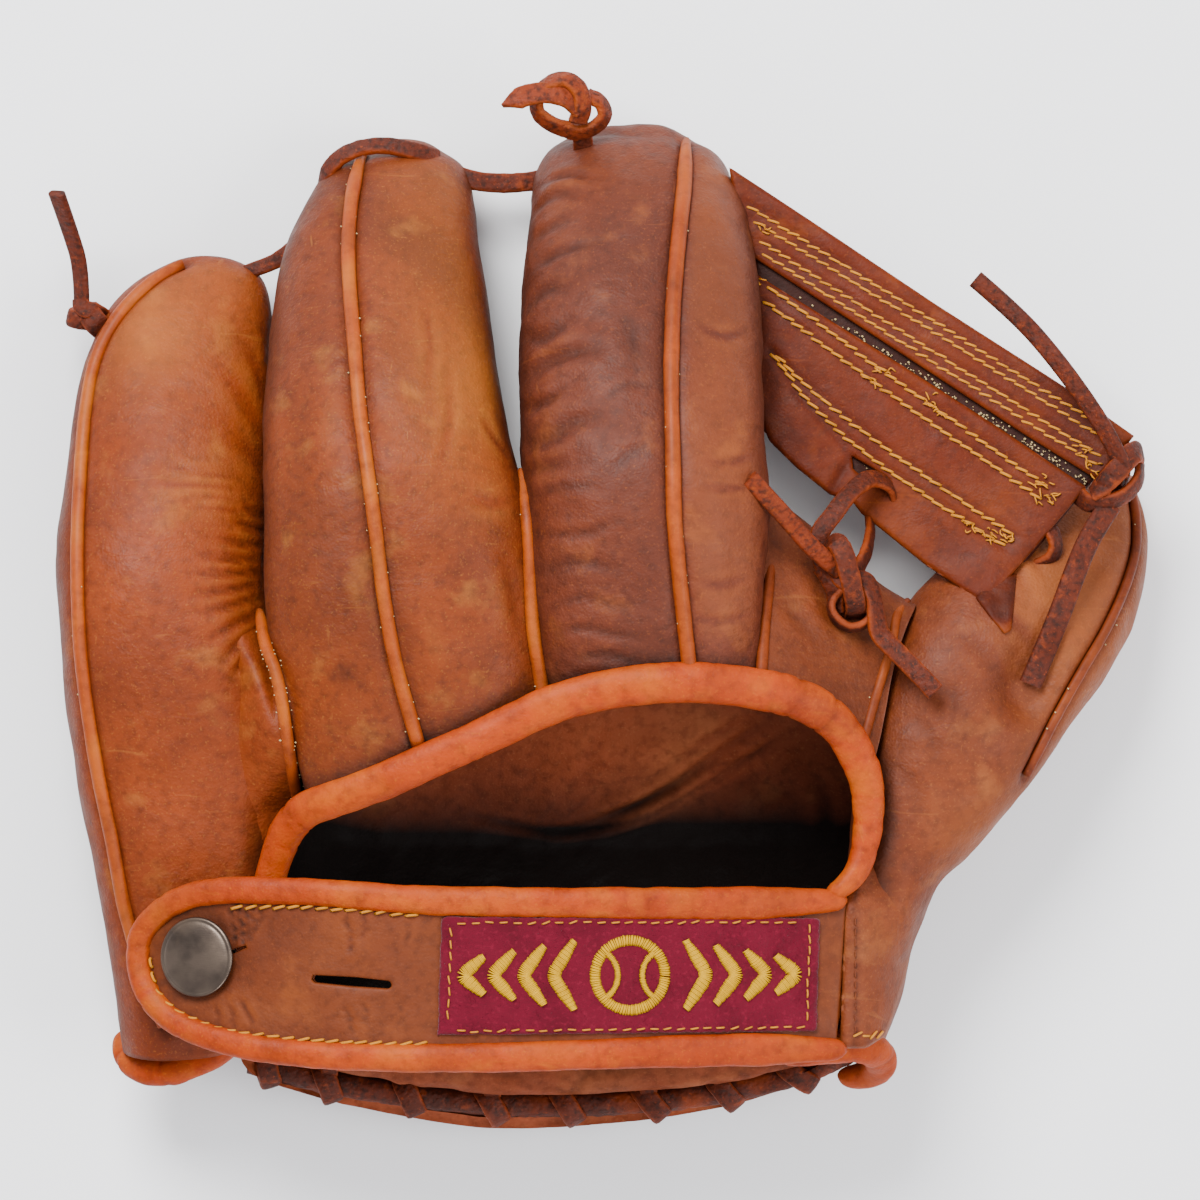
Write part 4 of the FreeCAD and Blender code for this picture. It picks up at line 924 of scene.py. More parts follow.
def bridge_points():
    """The little finger's leather, flat over the valley beside the welt: rows from the skin to the seam."""
    seam = spline(np.c_[SEAM, seam_heights], BRIDGE_ROWS - 2)
    seam[:, 2] -= 0.8 + 10 * np.linspace(1, 0, BRIDGE_ROWS - 2) ** 3
    share = np.linspace(0, 1, BRIDGE_COLUMNS)[:, None]
    rows = []
    for x, y, z in np.vstack([seam, seam[-1] + [[-1, -4, 0], [-2, -8, 0]]]):
        upper = np.clip((y + 34) / 26, 0, 1)
        start = little.drop(np.array([(x - 13 + 4 * upper, y)]))[0][0] - UP * (0.7 + 2.6 * upper)
        line = start * (1 - share) + np.array([x + 0.6, y, z]) * share
        line[:, 2] += (1.0 - upper) * np.sin(math.pi * share[:, 0])
        skin_height = little.drop(line[:, :2])[0][:, 2]
        line[:, 2] = np.minimum(line[:, 2], skin_height - 0.6 + 0.8 * max(0, -8 - y))
        rows.append(line)
    grid = np.array(rows)
    z = grid[..., 2]
    for _ in range(14):
        z[1:-1, 1:-1] = (z[:-2, 1:-1] + z[2:, 1:-1] + z[1:-1, :-2] + z[1:-1, 2:]) / 4
    return grid.reshape(-1, 3)


bridge = Skin(bridge_points(), grid_faces(BRIDGE_ROWS, BRIDGE_COLUMNS))
if bridge.normals[:, 2].mean() < 0:
    bridge.flip()
bridge.tone = fbm(bridge.verts, 12, 61) * 0.15 + 0.1
sheet("leather_beside_welt", bridge, (BRIDGE_ROWS, BRIDGE_COLUMNS), 1.8, SHELL, "hand")

crotch, crotch_shape = panel_skin([
    [(38, -24, 70), (46, -26.5, 69), (54, -30, 66), (61, -36, 62), (67, -44, 57)],
    [(39, -10, 64), (48, -14, 62.5), (56, -19, 60), (63, -25, 57), (70, -32, 53.5)],
    [(40, 4, 58), (49.5, 0, 56.5), (58, -5, 55), (66, -11, 53), (73, -17, 50.5)],
    [(41.5, 17, 52.5), (51, 12, 51), (60, 5.5, 50), (68.5, -2, 49), (76, -7.5, 47)],
    [(42.5, 25.5, 46.5), (52.5, 18, 45), (62, 10, 44), (71, 2.5, 44), (78.5, -2, 43)],
    [(42.5, 25, 38), (52.5, 17.5, 36), (62, 9.5, 35), (71, 2.5, 36), (78.5, -2, 37)],
    [(41, 12, 34), (51, 8, 32), (60, 2, 31), (69, -4, 32), (76, -8, 34)]])
for points, width, depth in (([(50, 12), (56, 2), (60, -10)], 2.4, 0.6),
                             ([(44, 2), (50, -6), (56, -12)], 2.0, 0.4),
                             ([(60, 4), (64, -4), (68, -12)], 1.6, 0.35)):
    crotch.crease(points, width, depth, -0.2, 0.3)
crotch.rumple(9, 0.25, 81)
crotch.refresh()
free_piping("welt_index_crotch", [(x, y, height((index, crotch), x, y) - 0.2) for x, y in (
    (42.4, 10), (41.8, 4), (40.9, -4), (40.2, -12), (39.8, -19), (39.6, -23))],
    "index_crotch_welt", 1.5, 74, 0.04, material=WELT_DARK)
free_piping("welt_crotch_thumb", [(x, y, height((thumb, crotch), x, y) - 0.2) for x, y in (
    (76.5, -0.5), (73.8, -4), (72.6, -10), (70.6, -17), (68.4, -24), (66.4, -31), (64.6, -37))],
    "crotch_thumb_welt", 1.3, 75, 0.02, CROTCH_BEND, WELT_DARK)
# painted shade: the crotch panel between the index finger and the thumb is darkened
crotch.tone -= 0.22
crotch_piece = sheet("panel_crotch", crotch, crotch_shape, 2.4, THUMB)
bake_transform(crotch_piece)
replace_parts(crotch_piece, "crotch_panel", "crotch_facing")

# ---------------------------------------------------------------- inside of the hand, palm and heel


def palm_height(x, y):
    """The height of the hand's floor, which rises towards the fingers and both sides."""
    z = np.interp(y, [-126, -112, -95, -62, -38, -18, 5], [17, 11, 10, 17, 28, 37, 44])
    return z + 6 * np.clip((-58 - x) / 20, 0, 2) ** 2 + 5 * np.clip((x - 42) / 25, 0, 2) ** 2


WRIST_LINE = [
    (-83.4, -76, 53), (-82, -69.5, 54), (-79.5, -62, 56), (-77.3, -56.8, 58.5), (-73, -52.2, 63),
    (-65.4, -49, 67.5), (-55, -45.3, 71), (-44, -40.4, 73.5),
    (-33.5, -35.8, 74), (-23.8, -31.3, 74), (-15, -27, 74.5), (-6, -23.8, 75), (8.3, -21, 76),
    (23, -20.3, 75.5), (34.4, -21.3, 74),
    (45.1, -23.3, 71.5), (53.4, -26.6, 68), (60, -32.3, 64.5), (63.8, -39.1, 62), (66, -45.6, 60.5),
    (66.5, -52.9, 60),
    (65.8, -60, 60.5), (63.8, -66.5, 61.5), (60, -71, 62.5), (56, -73.2, 63)]
LINER_ROWS, LINER_AROUND = 90, 220


def liner_points():
    """The lining's points: in from the wrist's edge, up under the fingers, and down to the hand's floor."""
    rim = spline([(x, y, z - 3) for x, y, z in WRIST_LINE] + [
        (64, -84, 56), (63, -100, 48), (58, -114, 36), (44, -121, 22), (24, -126, 20.5), (0, -129, 19.5),
        (-27, -130, 19.5), (-50, -127, 20),
        (-72, -122, 21.5), (-86, -116, 26), (-88, -104, 40), (-86, -90, 48), (-83, -77, 51)], LINER_AROUND,
        True)
    centre = np.array([-6.0, -72.0, 0])
    outward = unit((rim - centre) * [1, 1.4, 0])
    reach = 3 + 24 * np.clip(outward[:, 1], 0, 1) ** 1.5
    fingers = sum(np.exp(-(((rim[:, 0] - x) / 13) ** 2)) for x in (-48,
        14)) + 0.8 * np.exp(-(((rim[:, 0] + 74) / 9) ** 2))
    reach += 10 * fingers * np.clip(outward[:, 1], 0, 1)
    rings = []
    for s in np.linspace(0, 1, LINER_ROWS):
        if s < 0.35:
            t = s / 0.35
            plan = rim + outward * (reach * math.sin(math.pi * 0.86 * t**1.7))[:, None]
            e = 1 - (1 - t) ** 4
        else:
            t = (s - 0.35) / 0.65
            start = rim + outward * (reach * math.sin(math.pi * 0.86))[:, None]
            plan = start * (1 - t) + centre * t
            e = 1
        z = rim[:, 2] * (1 - e) + palm_height(plan[:, 0], plan[:, 1]) * e
        rings.append(np.c_[plan[:, :2], z])
    return np.concatenate(rings)


liner = Skin(liner_points(), grid_faces(LINER_ROWS, LINER_AROUND, True))
if liner.normals[-LINER_AROUND:, 2].mean() < 0:
    liner.flip()
LINING_CREASES = (
    ([(47, -27), (38, -33), (26, -41), (14, -49), (0, -55), (-16, -59)], 2.0, 1.8, -0.5),
    ([(44, -26), (34, -31), (22, -38), (12, -45)], 1.3, 1.1, -0.35),
    ([(50, -30), (40, -38), (30, -44), (16, -52)], 1.2, 1.0, -0.35),
    ([(37, -28), (28, -33), (20, -37)], 1.0, 0.7, -0.25),
    ([(28, -44), (18, -51), (6, -56), (-6, -58)], 1.1, 0.8, -0.3),
    ([(-40, -52), (-24, -56), (-8, -58), (8, -56)], 1.6, 0.7, -0.2),
    ([(4, -30), (-2, -38), (-4, -46)], 2.2, 0.5, -0.1),
    ([(52, -40), (56, -50), (57, -60)], 2.4, 0.8, -0.2))
for points, width, depth, tone in LINING_CREASES:
    liner.crease(points, width * 0.8, depth * 0.6, tone * 0.5, 0.5)
line, _ = liner.drop(spline([(34, -27), (20, -33), (2, -42), (-20, -48)], 30))
# a soft bulge, paled a little as painted light
liner.press(line, 10, -1.6, 0.06, 0.3)
for shift, first, last, deep in ((-3.4, 8, 34, 0.7), (-0.9, 0, 52, 1.25), (1.7, 4, 40, 1.1),
                                 (4.2, 14, 60, 0.8), (6.4, 0, 24, 0.6)):
    ends = np.array([(44, -29), (27, -36.5), (12, -46), (-4, -54)]) + rng.normal(0, 0.5,
        (4, 2)) + shift * np.array([0.5, -0.85])
    part = spline(ends, 60)[first:last]
    liner.crease(part, 1.5, deep * 0.75, -0.2, 0.4)
liner.refresh()
liner.rumple(6, 0.3, 91)
# painted shade: the inside of the hand darkens to near black towards the strap, more on its left and a little
# beyond the long fold, fading out at the heel
lx, ly, _ = liner.verts.T
shade_beyond_fold = np.clip((lx - 6 + (ly + 50) * -1.35) / 12, 0, 1) * 0.14
shade = np.clip((-32 - ly) / 28, 0, 1) ** 1.7 + np.clip((-56 - lx) / 26, 0, 1) * 0.3 + shade_beyond_fold
liner.tone -= 1.08 * np.clip(shade, 0, 1) * np.clip((ly + 112) / 8, 0, 1)
liner_piece = build("lining_hand", liner.verts, liner.faces, LINING, "lining_leather", liner.tone, "hand")
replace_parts(liner_piece, "palm_lining", "palm_padding")

palm, palm_shape = panel_skin([
    [(-83, -118, 20), (-55, -124.5, 13), (-28, -127.5, 11.5), (4, -126, 11.5), (36, -121.5, 13),
     (56, -115, 21)],
    [(-84, -108, 9), (-55, -112.5, 3.5), (-28, -115, 2.2), (6, -114, 2.5), (40, -110, 6), (60, -106, 18)],
    [(-84, -98, 5.5), (-56, -101, 1.6), (-28, -103, 1.2), (6, -102, 1.6), (42, -99, 5), (61, -96, 14)],
    [(-84, -85, 4.5), (-56, -88, 1.8), (-28, -90, 2.2), (8, -90, 3.5), (46, -88, 6.5), (62, -86, 13)],
    [(-84, -60, 7), (-55, -62, 9), (-26, -63, 13), (12, -63, 15), (48, -62, 13), (64, -60, 16)],
    [(-84, -38, 10), (-54, -39, 18), (-24, -39, 24), (16, -38, 26), (54, -37, 21), (68, -35, 20)],
    [(-84, -20, 13), (-54, -20, 23), (-22, -19, 30), (18, -17, 32), (56, -15, 28), (72, -12, 24)],
    [(-86, 4, 18), (-54, 6, 34), (-20, 8, 38), (18, 10, 40), (50, 6, 34), (70, 0, 28)]], 90, 90)
palm.tone -= 0.4 * np.clip((-108 - palm.verts[:, 1]) / 4, 0, 1)
palm.rumple(12, 0.35, 93)
palm.verts[:, 2] = np.maximum(palm.verts[:, 2], 3.3)
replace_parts(sheet("leather_palm", palm, palm_shape, 2.2, SHELL, "hand"), "palm_leather")

HEEL_LINE = [(-88, -116, 22), (-72, -120.4, 20.5), (-50, -124.3, 19), (-27, -126.8, 18.5),
             (0, -126.8, 18.5), (24, -124.6, 19.5),
             (44, -120.6, 21), (56, -116.4, 23.5), (63, -112.6, 29)]
pad_line = spline([(-82, -104, 27), (-66, -108.5, 26), (-46, -112.6, 25.5), (-26, -114.8, 25),
                   (0, -114.8, 25),
                   (22, -113, 26), (40, -110, 27), (57, -105.5, 30)], 120)
heel_skin = Skin(sweep(pad_line, 18, 11, UP, 40, 2.2)[0][:-2], grid_faces(120, 40, True))
if (heel_skin.normals[:, 2] * (heel_skin.verts[:, 2] - 26)).sum() < 0:
    heel_skin.flip()
for points, depth in (([(32, -116), (38, -121), (41, -124)], 0.7),
                      ([(26, -118), (28, -123), (27, -127)], 0.5),
                      ([(-52, -118), (-47, -122), (-46, -126)], 0.5),
                      ([(-20, -121), (0, -124.5), (16, -123)], 0.5),
                      ([(-36, -121), (-28, -125), (-14, -127)], 0.4)):
    heel_skin.crease(points, 1.4, depth, -0.25, 0.4)
heel_skin.rumple(9, 0.4, 95)
heel_skin.tone -= 0.3
heel_pad = build("lining_heel_edge", *capped(heel_skin.verts, heel_skin.faces, 120, 40), LINING,
                 "lining_leather", np.r_[heel_skin.tone, 0, 0], "hand")

heel_line = spline(HEEL_LINE, 150)
verts, faces, _ = sweep(heel_line, 6.2, 6.4, UP, 18, 2.1, 0.25, 96)
roll = build("heel_roll_leather", verts, faces, LACE, "trim_leather", fbm(verts, 8, 97) * 0.4, "hand")
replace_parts(roll, "heel_roll")
loops = []
for k, x in enumerate((-84, -69, -48, -27.5, -8.5, 12.5, 31, 50)):
    at = np.argmin(np.abs(heel_line[:, 0] - x))
    spot, along = heel_line[at], unit(heel_line[min(at + 3, 149)] - heel_line[max(at - 3, 0)])
    out = unit(np.cross(along, UP))
    high = np.cross(out, along)
    turn = np.linspace(0, 2 * math.pi, 40, endpoint=False)
    lap = spot + out * (np.cos(turn) * 4.1)[:, None] + high * (np.sin(turn) * 4.5)[:, None] + along * (
        np.cos(turn) * (2.6 + 0.9 * math.sin(3.1 * k)))[:, None]
    loops.append(sweep(lap, 5.6, 1.8, unit(lap - spot), 12, 3.2, 0.12, 98 + k, closed=True))
    if k in (0, 1, 3, 5, 6, 7):
        inner = spot - out * 2.2 + high * 4.2
        loops.append(sweep(spline([inner, inner + high * 1.6 - out * 5,
                                   inner - out * 9.5 + high * 0.6 + along * 1.2,
                                   inner - out * 12 - high * 1.5 + along * 1.5], 16), 4.4, 1.7, high, 12,
                                   3.2, 0.12, 88 + k))
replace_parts(make("heel_lace_loops", joined(loops), LACE, "lace_leather", "hand"), "heel_lace")

# ---------------------------------------------------------------- bindings


def binding(name, points, widths, thick, node, dips, seed, body="hand", count=190, creases=0.22):
    """Rolled leather edge: an uneven band with creases across it, darkened in its creases and dips as painted
    shade. dips are (share along, depth).
    """
    around = 30
    line = spline(points, count)
    widths = np.interp(np.linspace(0, 1, count), np.linspace(0, 1, len(widths)), widths)
    along = np.r_[0, np.cumsum(np.linalg.norm(np.diff(line, axis=0), axis=1))]
    near_end = np.clip(np.minimum(along, along[-1] - along) / 3.2, 0.04, 1)
    ends = np.sqrt(1 - (1 - near_end) ** 2)
    verts, faces, _ = sweep(line, widths * ends * (1 + 0.04 * fbm(line, 16, seed)),
                            thick * ends * (1 + 0.05 * fbm(line, 11, seed + 1)), UP, around, 2.25)
    face = verts[: count * around]
    out = unit(face - np.repeat(line, around, 0))
    share = np.repeat(np.linspace(0, 1, count), around)
    angle = np.tile(np.linspace(0, 2 * math.pi, around, endpoint=False), count)
    tone = fbm(face, 10, seed + 2) * 0.22
    move = fbm(face, 5, seed + 3, 3) * 0.14
    length = along[-1]
    across = fbm(np.c_[share * length, np.cos(angle) * 2.5 + seed, np.sin(angle) * 2.5], 3.2, seed + 4, 2)
    move += np.minimum(across + 0.25, 0) * creases
    # painted shade in the creases
    tone += np.minimum(across + 0.25, 0) * creases * 0.9
    for where, depth in dips:
        slant = where + 0.8 / length * np.sin(angle * 2 + where * 40)
        pinch = np.exp(-(((share - slant) * length / 0.7) ** 2))
        lips = np.exp(-(((share - slant) * length / 2.6) ** 2)) - pinch
        move += -pinch * depth + lips * depth * 0.35
        # painted shade in the pinches
        tone -= pinch * min(0.9, depth * 0.8)
    verts[: count * around] += out * move[:, None]
    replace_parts(build(name, verts, faces, TRIM, "trim_leather", np.r_[tone, -0.2, -0.2], body), node)


binding("binding_wrist", WRIST_LINE, [7.6, 8.6, 9.2, 9.2, 9.2, 9.4, 9.8, 10.2, 10.2, 9.8, 9.4, 7, 4.5], 6.4,
        "wrist_binding",
        ((0.08, 0.2), (0.12, 0.3), (0.33, 0.1), (0.62, 0.12), (0.69, 0.2), (0.715, 0.3), (0.76, 0.35),
         (0.79, 0.2), (0.825, 0.25),
         (0.87, 0.2), (0.9, 0.3), (0.93, 0.2)), 103, creases=0.1)
binding("binding_heel_left", [(-118.8, -108, 26), (-119.6, -112, 27), (-117.8, -115.6, 30),
                              (-113.5, -117.8, 33), (-108.5, -118, 34.5),
                              (-102.5, -116.4, 35), (-97, -113.9, 36), (-91.5, -110, 38)],
                              [5, 6.2, 7, 7.2, 7, 6.5], 6.6,
        "heel_binding_left", ((0.2, 0.3), (0.5, 0.2)), 111, count=90)
binding("binding_heel_right", [(44, -113.2, 49), (54, -111.8, 50), (63.5, -110.8, 47.5), (68, -112.2, 43.5),
                               (70.2, -115.2, 37),
                               (68.5, -118.2, 29.5), (64, -119.6, 24.5), (60, -119.4, 22.5)],
                               [5, 7, 8.2, 8.6, 8.4, 8, 7, 5], 7,
        "heel_binding_right", ((0.35, 0.2), (0.55, 0.2)), 117, count=90, creases=0.15)

# ---------------------------------------------------------------- wrist strap

# along the strap, its face is two arcs that meet at its crest: a flat one, and a rounder one by the button
CREST_X, CREST_Z = -42.5, 74.0
FLAT_RADIUS, ROUND_RADIUS = 465.0, 135.0


def strap_face(xy, lift=0.0):
    """Points on the strap's outer face, raised by lift, and their normals."""
    xy = np.asarray(xy, float)
    x = xy[:, 0]
    radius = np.where(x > CREST_X, FLAT_RADIUS, ROUND_RADIUS)
    away = x - CREST_X
    rise = np.sqrt(np.maximum(radius**2 - away**2, 1))
    normal = np.c_[away / radius, np.zeros(len(x)), rise / radius]
    return np.c_[xy[:, :2], CREST_Z - radius + rise] + normal * np.reshape(lift, (-1, 1)), normal


def inside(points, loop):
    """Which plan points are inside a closed outline."""
    x, y = points[:, 0], points[:, 1]
    out = np.zeros(len(points), bool)
    for (x0, y0), (x1, y1) in zip(loop, np.roll(loop, -1, 0)):
        crossing = (y0 > y) != (y1 > y)
        out ^= crossing & (x < (x1 - x0) * (y - y0) / (y1 - y0 if y1 != y0 else 1e-9) + x0)
    return out


def resample(loop, gap):
    """A closed outline as points about gap apart."""
    loop = np.asarray(loop, float)
    closed = np.vstack([loop, loop[:1]])
    along = np.r_[0, np.cumsum(np.linalg.norm(np.diff(closed, axis=0), axis=1))]
    at = np.linspace(0, along[-1], max(8, int(along[-1] / gap)), endpoint=False)
    return np.c_[np.interp(at, along, closed[:, 0]), np.interp(at, along, closed[:, 1])]


def edge_distance(points, loops):
    """How far plan points are from the nearest of several closed outlines."""
    return np.min([distance(flat(points), flat(np.vstack([loop, loop[:1]])))[0] for loop in loops], 0)


def in_sheet(points, loops):
    """Which plan points are inside the first outline and outside the others, which are holes."""
    keep = inside(points, loops[0])
    for hole in loops[1:]:
        keep &= ~inside(points, hole)
    return keep


def slab(outline, holes, gap, place, thick, edge=0.8, bumps=None):
    """A sheet cut to an outline with holes and laid by place(points, lift), edges rounded, with a back."""
    loops = [resample(outline, gap)] + [resample(h, min(gap, 0.6)) for h in holes]
    low, high = loops[0].min(0), loops[0].max(0)
    xs, ys = np.meshgrid(np.arange(low[0], high[0], gap), np.arange(low[1], high[1], gap * 0.87))
    xs = xs + (np.arange(len(xs)) % 2)[:, None] * gap / 2
    field = np.c_[xs.ravel(), ys.ravel()]
    rings = []
    for n, loop in enumerate(loops):
        d = unit(np.roll(loop, -1, 0) - np.roll(loop, 1, 0))
        side = np.c_[-d[:, 1], d[:, 0]]
        if inside(loop + side * 0.05, loop).mean() < 0.5:
            side = -side
        if n:
            side = -side
        rings += [loop + side * edge * 0.3, loop + side * edge]
    keep = in_sheet(field, loops) & (edge_distance(field, loops) > edge + gap * 0.45)
    points = np.vstack(loops + rings + [field[keep]])
    edges, start = [], 0
    for loop in loops:
        edges += [(start + k, start + (k + 1) % len(loop)) for k in range(len(loop))]
        start += len(loop)
    made, _, tris, *_ = delaunay_2d_cdt([Vector(p) for p in points], edges, [], 0, 1e-5)
    plan = np.array([tuple(p) for p in made])
    tris = np.array([t for t in tris if len(t) == 3])
    tris = tris[in_sheet(plan[tris].mean(1), loops)]
    used = np.unique(tris)
    lookup = np.full(len(plan), -1)
    lookup[used] = np.arange(len(used))
    plan, tris = plan[used], lookup[tris]
    away = edge_distance(plan, loops)
    drop = edge * (1 - np.sqrt(1 - np.clip(1 - away / edge, 0, 1) ** 2)) * 0.8
    lift = thick - drop
    tone = np.clip(1 - away / 0.5, 0, 1) * 0.25
    if bumps:
        more, shade = bumps(plan)
        lift, tone = lift + more, tone + shade
    top = place(plan, lift)[0]
    back = place(plan, 0.0)[0]
    n = np.cross(top[tris[:, 1]] - top[tris[:, 0]], top[tris[:, 2]] - top[tris[:, 0]])
    if n[:, 2].sum() < 0:
        tris = tris[:, ::-1]
    borders = {}
    for a, b, c in tris:
        borders.update({(a, b): True, (b, c): True, (c, a): True})
    sides = [(b, a, a + len(plan), b + len(plan)) for a, b in borders if (b, a) not in borders]
    faces = [tuple(t) for t in tris] + [tuple(t[::-1] + len(plan)) for t in tris] + sides
    # the back is painted a little darker, as shade
    return np.vstack([top, back]), faces, np.r_[tone, tone - 0.2]


STRAP_EDGE = [
    (61, -74.2), (40, -74.8), (15, -74.8), (-5, -74.6), (-25, -74.3), (-48.5, -73.6), (-71.5, -71.9),
    (-88.3, -71.7), (-97, -72.3),
    (-103.5, -74), (-109, -77.3), (-113.2, -81.8), (-114.6, -87), (-113.6, -93.5), (-110.4, -100),
    (-104.5, -104.8), (-96.5, -108),
    (-87, -110.2), (-71.5, -112), (-48, -112.7), (-25, -112.6), (-5, -112), (15.9, -111.4), (45, -110.9),
    (61, -111.2)]
edge_line = spline(STRAP_EDGE, 300)
SLIT = [(-70.8, -92.4), (-60, -92.9), (-51.8, -93.8), (-51.2, -94.9), (-52, -95.7), (-61, -95.2),
        (-70.6, -94.3), (-71.3, -93.4)]
BUTTON = np.array([-99.2, -88.3])


# each crease in the strap: from x, y to x, y, and its depth
STRAP_CREASES = (
    (-89.5, -76, -88.2, -84.5, 0.5), (-87.6, -76, -86.8, -83.5, 0.45), (-85.8, -76, -85.5, -82, 0.35),
    (-91.5, -77, -90, -84, 0.35),
    (-84, -76, -84.2, -80, 0.25), (-62.5, -78, -61.5, -87, 0.3), (-58, -77, -58.6, -84, 0.2),
    (-63, -99, -61, -107, 0.25),
    (-90, -98, -86, -104, 0.3), (-93, -99, -90, -105, 0.25), (-58.6, -98, -57.6, -104, 0.18),
    (-49, -99, -50, -106, 0.18),
    (-96, -100.5, -94, -104.5, 0.3), (-47, -79, -48, -85, 0.2))


def strap_bumps(p):
    """The strap's creases round its button and near its edges, with painted shade in the grooves, round the
    button's rim and beside the binding, and painted light on the ridges.
    """
    spots = flat(p)
    lift, tone = fbm(spots, 9, 121) * 0.18, fbm(spots, 14, 122) * 0.1
    for x0, y0, x1, y1, depth in STRAP_CREASES:
        d = distance(spots, np.array([[x0, y0, 0], [(x0 + x1) / 2 + 0.5, (y0 + y1) / 2, 0], [x1, y1, 0]]))[0]
        groove = np.exp(-((d / 0.55) ** 2))
        ridge = np.exp(-((d / 1.5) ** 2)) - groove
        lift += ridge * depth * 0.8 - groove * depth * 1.5
        # painted shade in the grooves, painted light on the ridges
        tone += ridge * 0.22 - groove * depth * 1.5
    near = np.linalg.norm((p - BUTTON) * [1, 0.9], axis=1)
    lift -= np.exp(-(((near - 8) / 5) ** 2)) * 0.5
    # painted shadow round the button's rim
    tone -= np.exp(-(((near - 9.2) / 1.8) ** 2)) * 0.35
    # painted shade beside the binding
    tone -= np.clip(1 - distance(spots, flat(edge_line))[0] / 6.5, 0, 1) ** 2 * 0.4
    return lift, tone


field_loop = edge_line[::3]
hole_loop = BUTTON + np.array([(-3.4, 0), (-2.4, 2.2), (0, 2.9), (2.6, 2.4), (4.2, 0.9), (11.6, 3.0),
                               (11.9, 2.5),
                               (4.2, -0.8), (2.6, -2.4), (0, -2.9), (-2.4, -2.2)])
strap_piece = make("strap_leather_face", slab(
    field_loop, [SLIT, hole_loop], 1.25, lambda p, lift: strap_face(p, np.asarray(lift) - 2.2), 2.2, 0.7,
    strap_bumps),
    STRAP, "strap_leather", "wrist_strap")
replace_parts(strap_piece, "strap_leather")
verts, faces, tone = slab(
    field_loop, [SLIT, hole_loop], 2.2, lambda p, lift: strap_face(p, np.asarray(lift) - 3.5), 1.25, 0.5)
# painted shade: the strap's back is darkened
strap_back = build("strap_lining_back", verts, faces, LINING, "lining_leather", tone - 0.3, "wrist_strap")
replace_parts(strap_back, "strap_lining")
edge_points = strap_face(edge_line)[0]
binding("binding_strap", np.vstack([edge_points[:-6:6], edge_points[-1:]]),
        [5, 8.4, 8.0, 7.6, 7.4, 7.0, 6.6, 6.4, 6.2, 6.4, 6.6, 6.8, 7.2, 7.6, 8.0, 8.4, 5], 5.2,
        "strap_binding",
        ((0.2, 0.08), (0.42, 0.2), (0.455, 0.2), (0.49, 0.2), (0.525, 0.25), (0.56, 0.15), (0.62, 0.1)), 131,
        "wrist_strap", 320, 0.13)


def strap_row(points, pitch, length, slant=0.35, radius=0.38, lift=0.25):
    """A row of stitches on the strap."""
    spots, normals = strap_face(spline(points, 160), lift)
    return stitches(spots, normals, pitch, length, radius, 0.1, slant, 0.12)


make("stitches_strap", joined([
    strap_row([(-92, -75.9), (-80, -75.6), (-70, -75.8), (-55, -76.9), (-42, -78.0)], 3.7, 2.7),
    strap_row([(-111.4, -87.5), (-110.8, -93), (-108.6, -98.3), (-103, -102.6), (-94, -105.8), (-82, -107.6),
               (-70, -108.6), (-55, -109.2), (-41, -109.3)], 3.7, 2.7)]), THREAD, "thread", "wrist_strap")


def anchor_place(p, lift):
    """The sewn end runs off the strap's curve and down over the thumb's heel."""
    over_thumb = thumb.drop(p)[0][:, 2]
    strap_z = strap_face(p)[0][:, 2] - 0.5 - 0.06 * np.clip(p[:, 0] - 62, 0, 30) ** 2
    z = np.log(np.exp(over_thumb / 1.2) + np.exp(strap_z / 1.2)) * 1.2
    z = z - 0.34 * np.clip(p[:, 1] + 77, 0, 14) - 0.3 * np.clip(p[:, 0] - 71, 0, 9)
    return np.c_[p, z + np.asarray(lift) - 1.5], None


def anchor_bumps(p):
    """The groove of the seam that holds the strap, darkened as painted shade, and general wear."""
    spots = flat(p)
    seam_groove = np.exp(-(((p[:, 0] - 63.2) / 0.7) ** 2))
    # painted shade in the seam's groove
    return fbm(spots, 8, 141) * 0.3 - seam_groove * 0.5, fbm(spots, 12, 142) * 0.1 - seam_groove * 0.5


seam = spline([(63.2, -78), (63.2, -90), (63.2, -107)], 60)
straight_up = np.tile(UP, (60, 1))
seam_stitches = stitches(anchor_place(seam, 2.2)[0], straight_up, 2.6, 1.6, 0.16, 0.0, 0, 0.05)
anchor = make("strap_sewn_end", slab(
    [(60.4, -75), (61.8, -69), (66, -65), (72, -66), (77, -72), (78.4, -80), (77, -90), (74, -100),
     (71, -108),
     (66, -111), (59.4, -111)], [], 1.3, anchor_place, 2.4, 2.4, anchor_bumps), THUMB, "strap_leather",
     "hand")
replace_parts(anchor, "strap_anchor")
make("stitches_anchor", seam_stitches, INDEX, "thread", "hand")
gold_line = anchor_place(spline([(62.2, -107.4), (66, -107.7), (71, -107.6)], 30), 2.4)[0]
make("stitches_anchor_gold", stitches(gold_line, straight_up[:30], 2.4, 2.0, 0.3, 0.0, 0.5, 0.3),
     THREAD, "thread", "hand")

# the felt patch, its running stitches and its raised embroidery: a plain ball between rows of chevrons
PATCH = (-39.6, 54.2, -107.2, -78.2)
patch_loop = resample([(PATCH[0] - 0.4, -107.0), (PATCH[1] - 0.8, -106.4), (PATCH[1], -78.6),
                       (PATCH[0] + 0.6, -77.9)], 0.9)
patch_loop = patch_loop + rng.normal(0, 0.09, patch_loop.shape)


def felt_bumps(p):
    """Felt is a little lumpy."""
    spots = flat(p)
    return fbm(spots, 2.2, 151, 3) * 0.14 + fbm(spots, 12, 152) * 0.15, fbm(spots, 3, 153) * 0.2


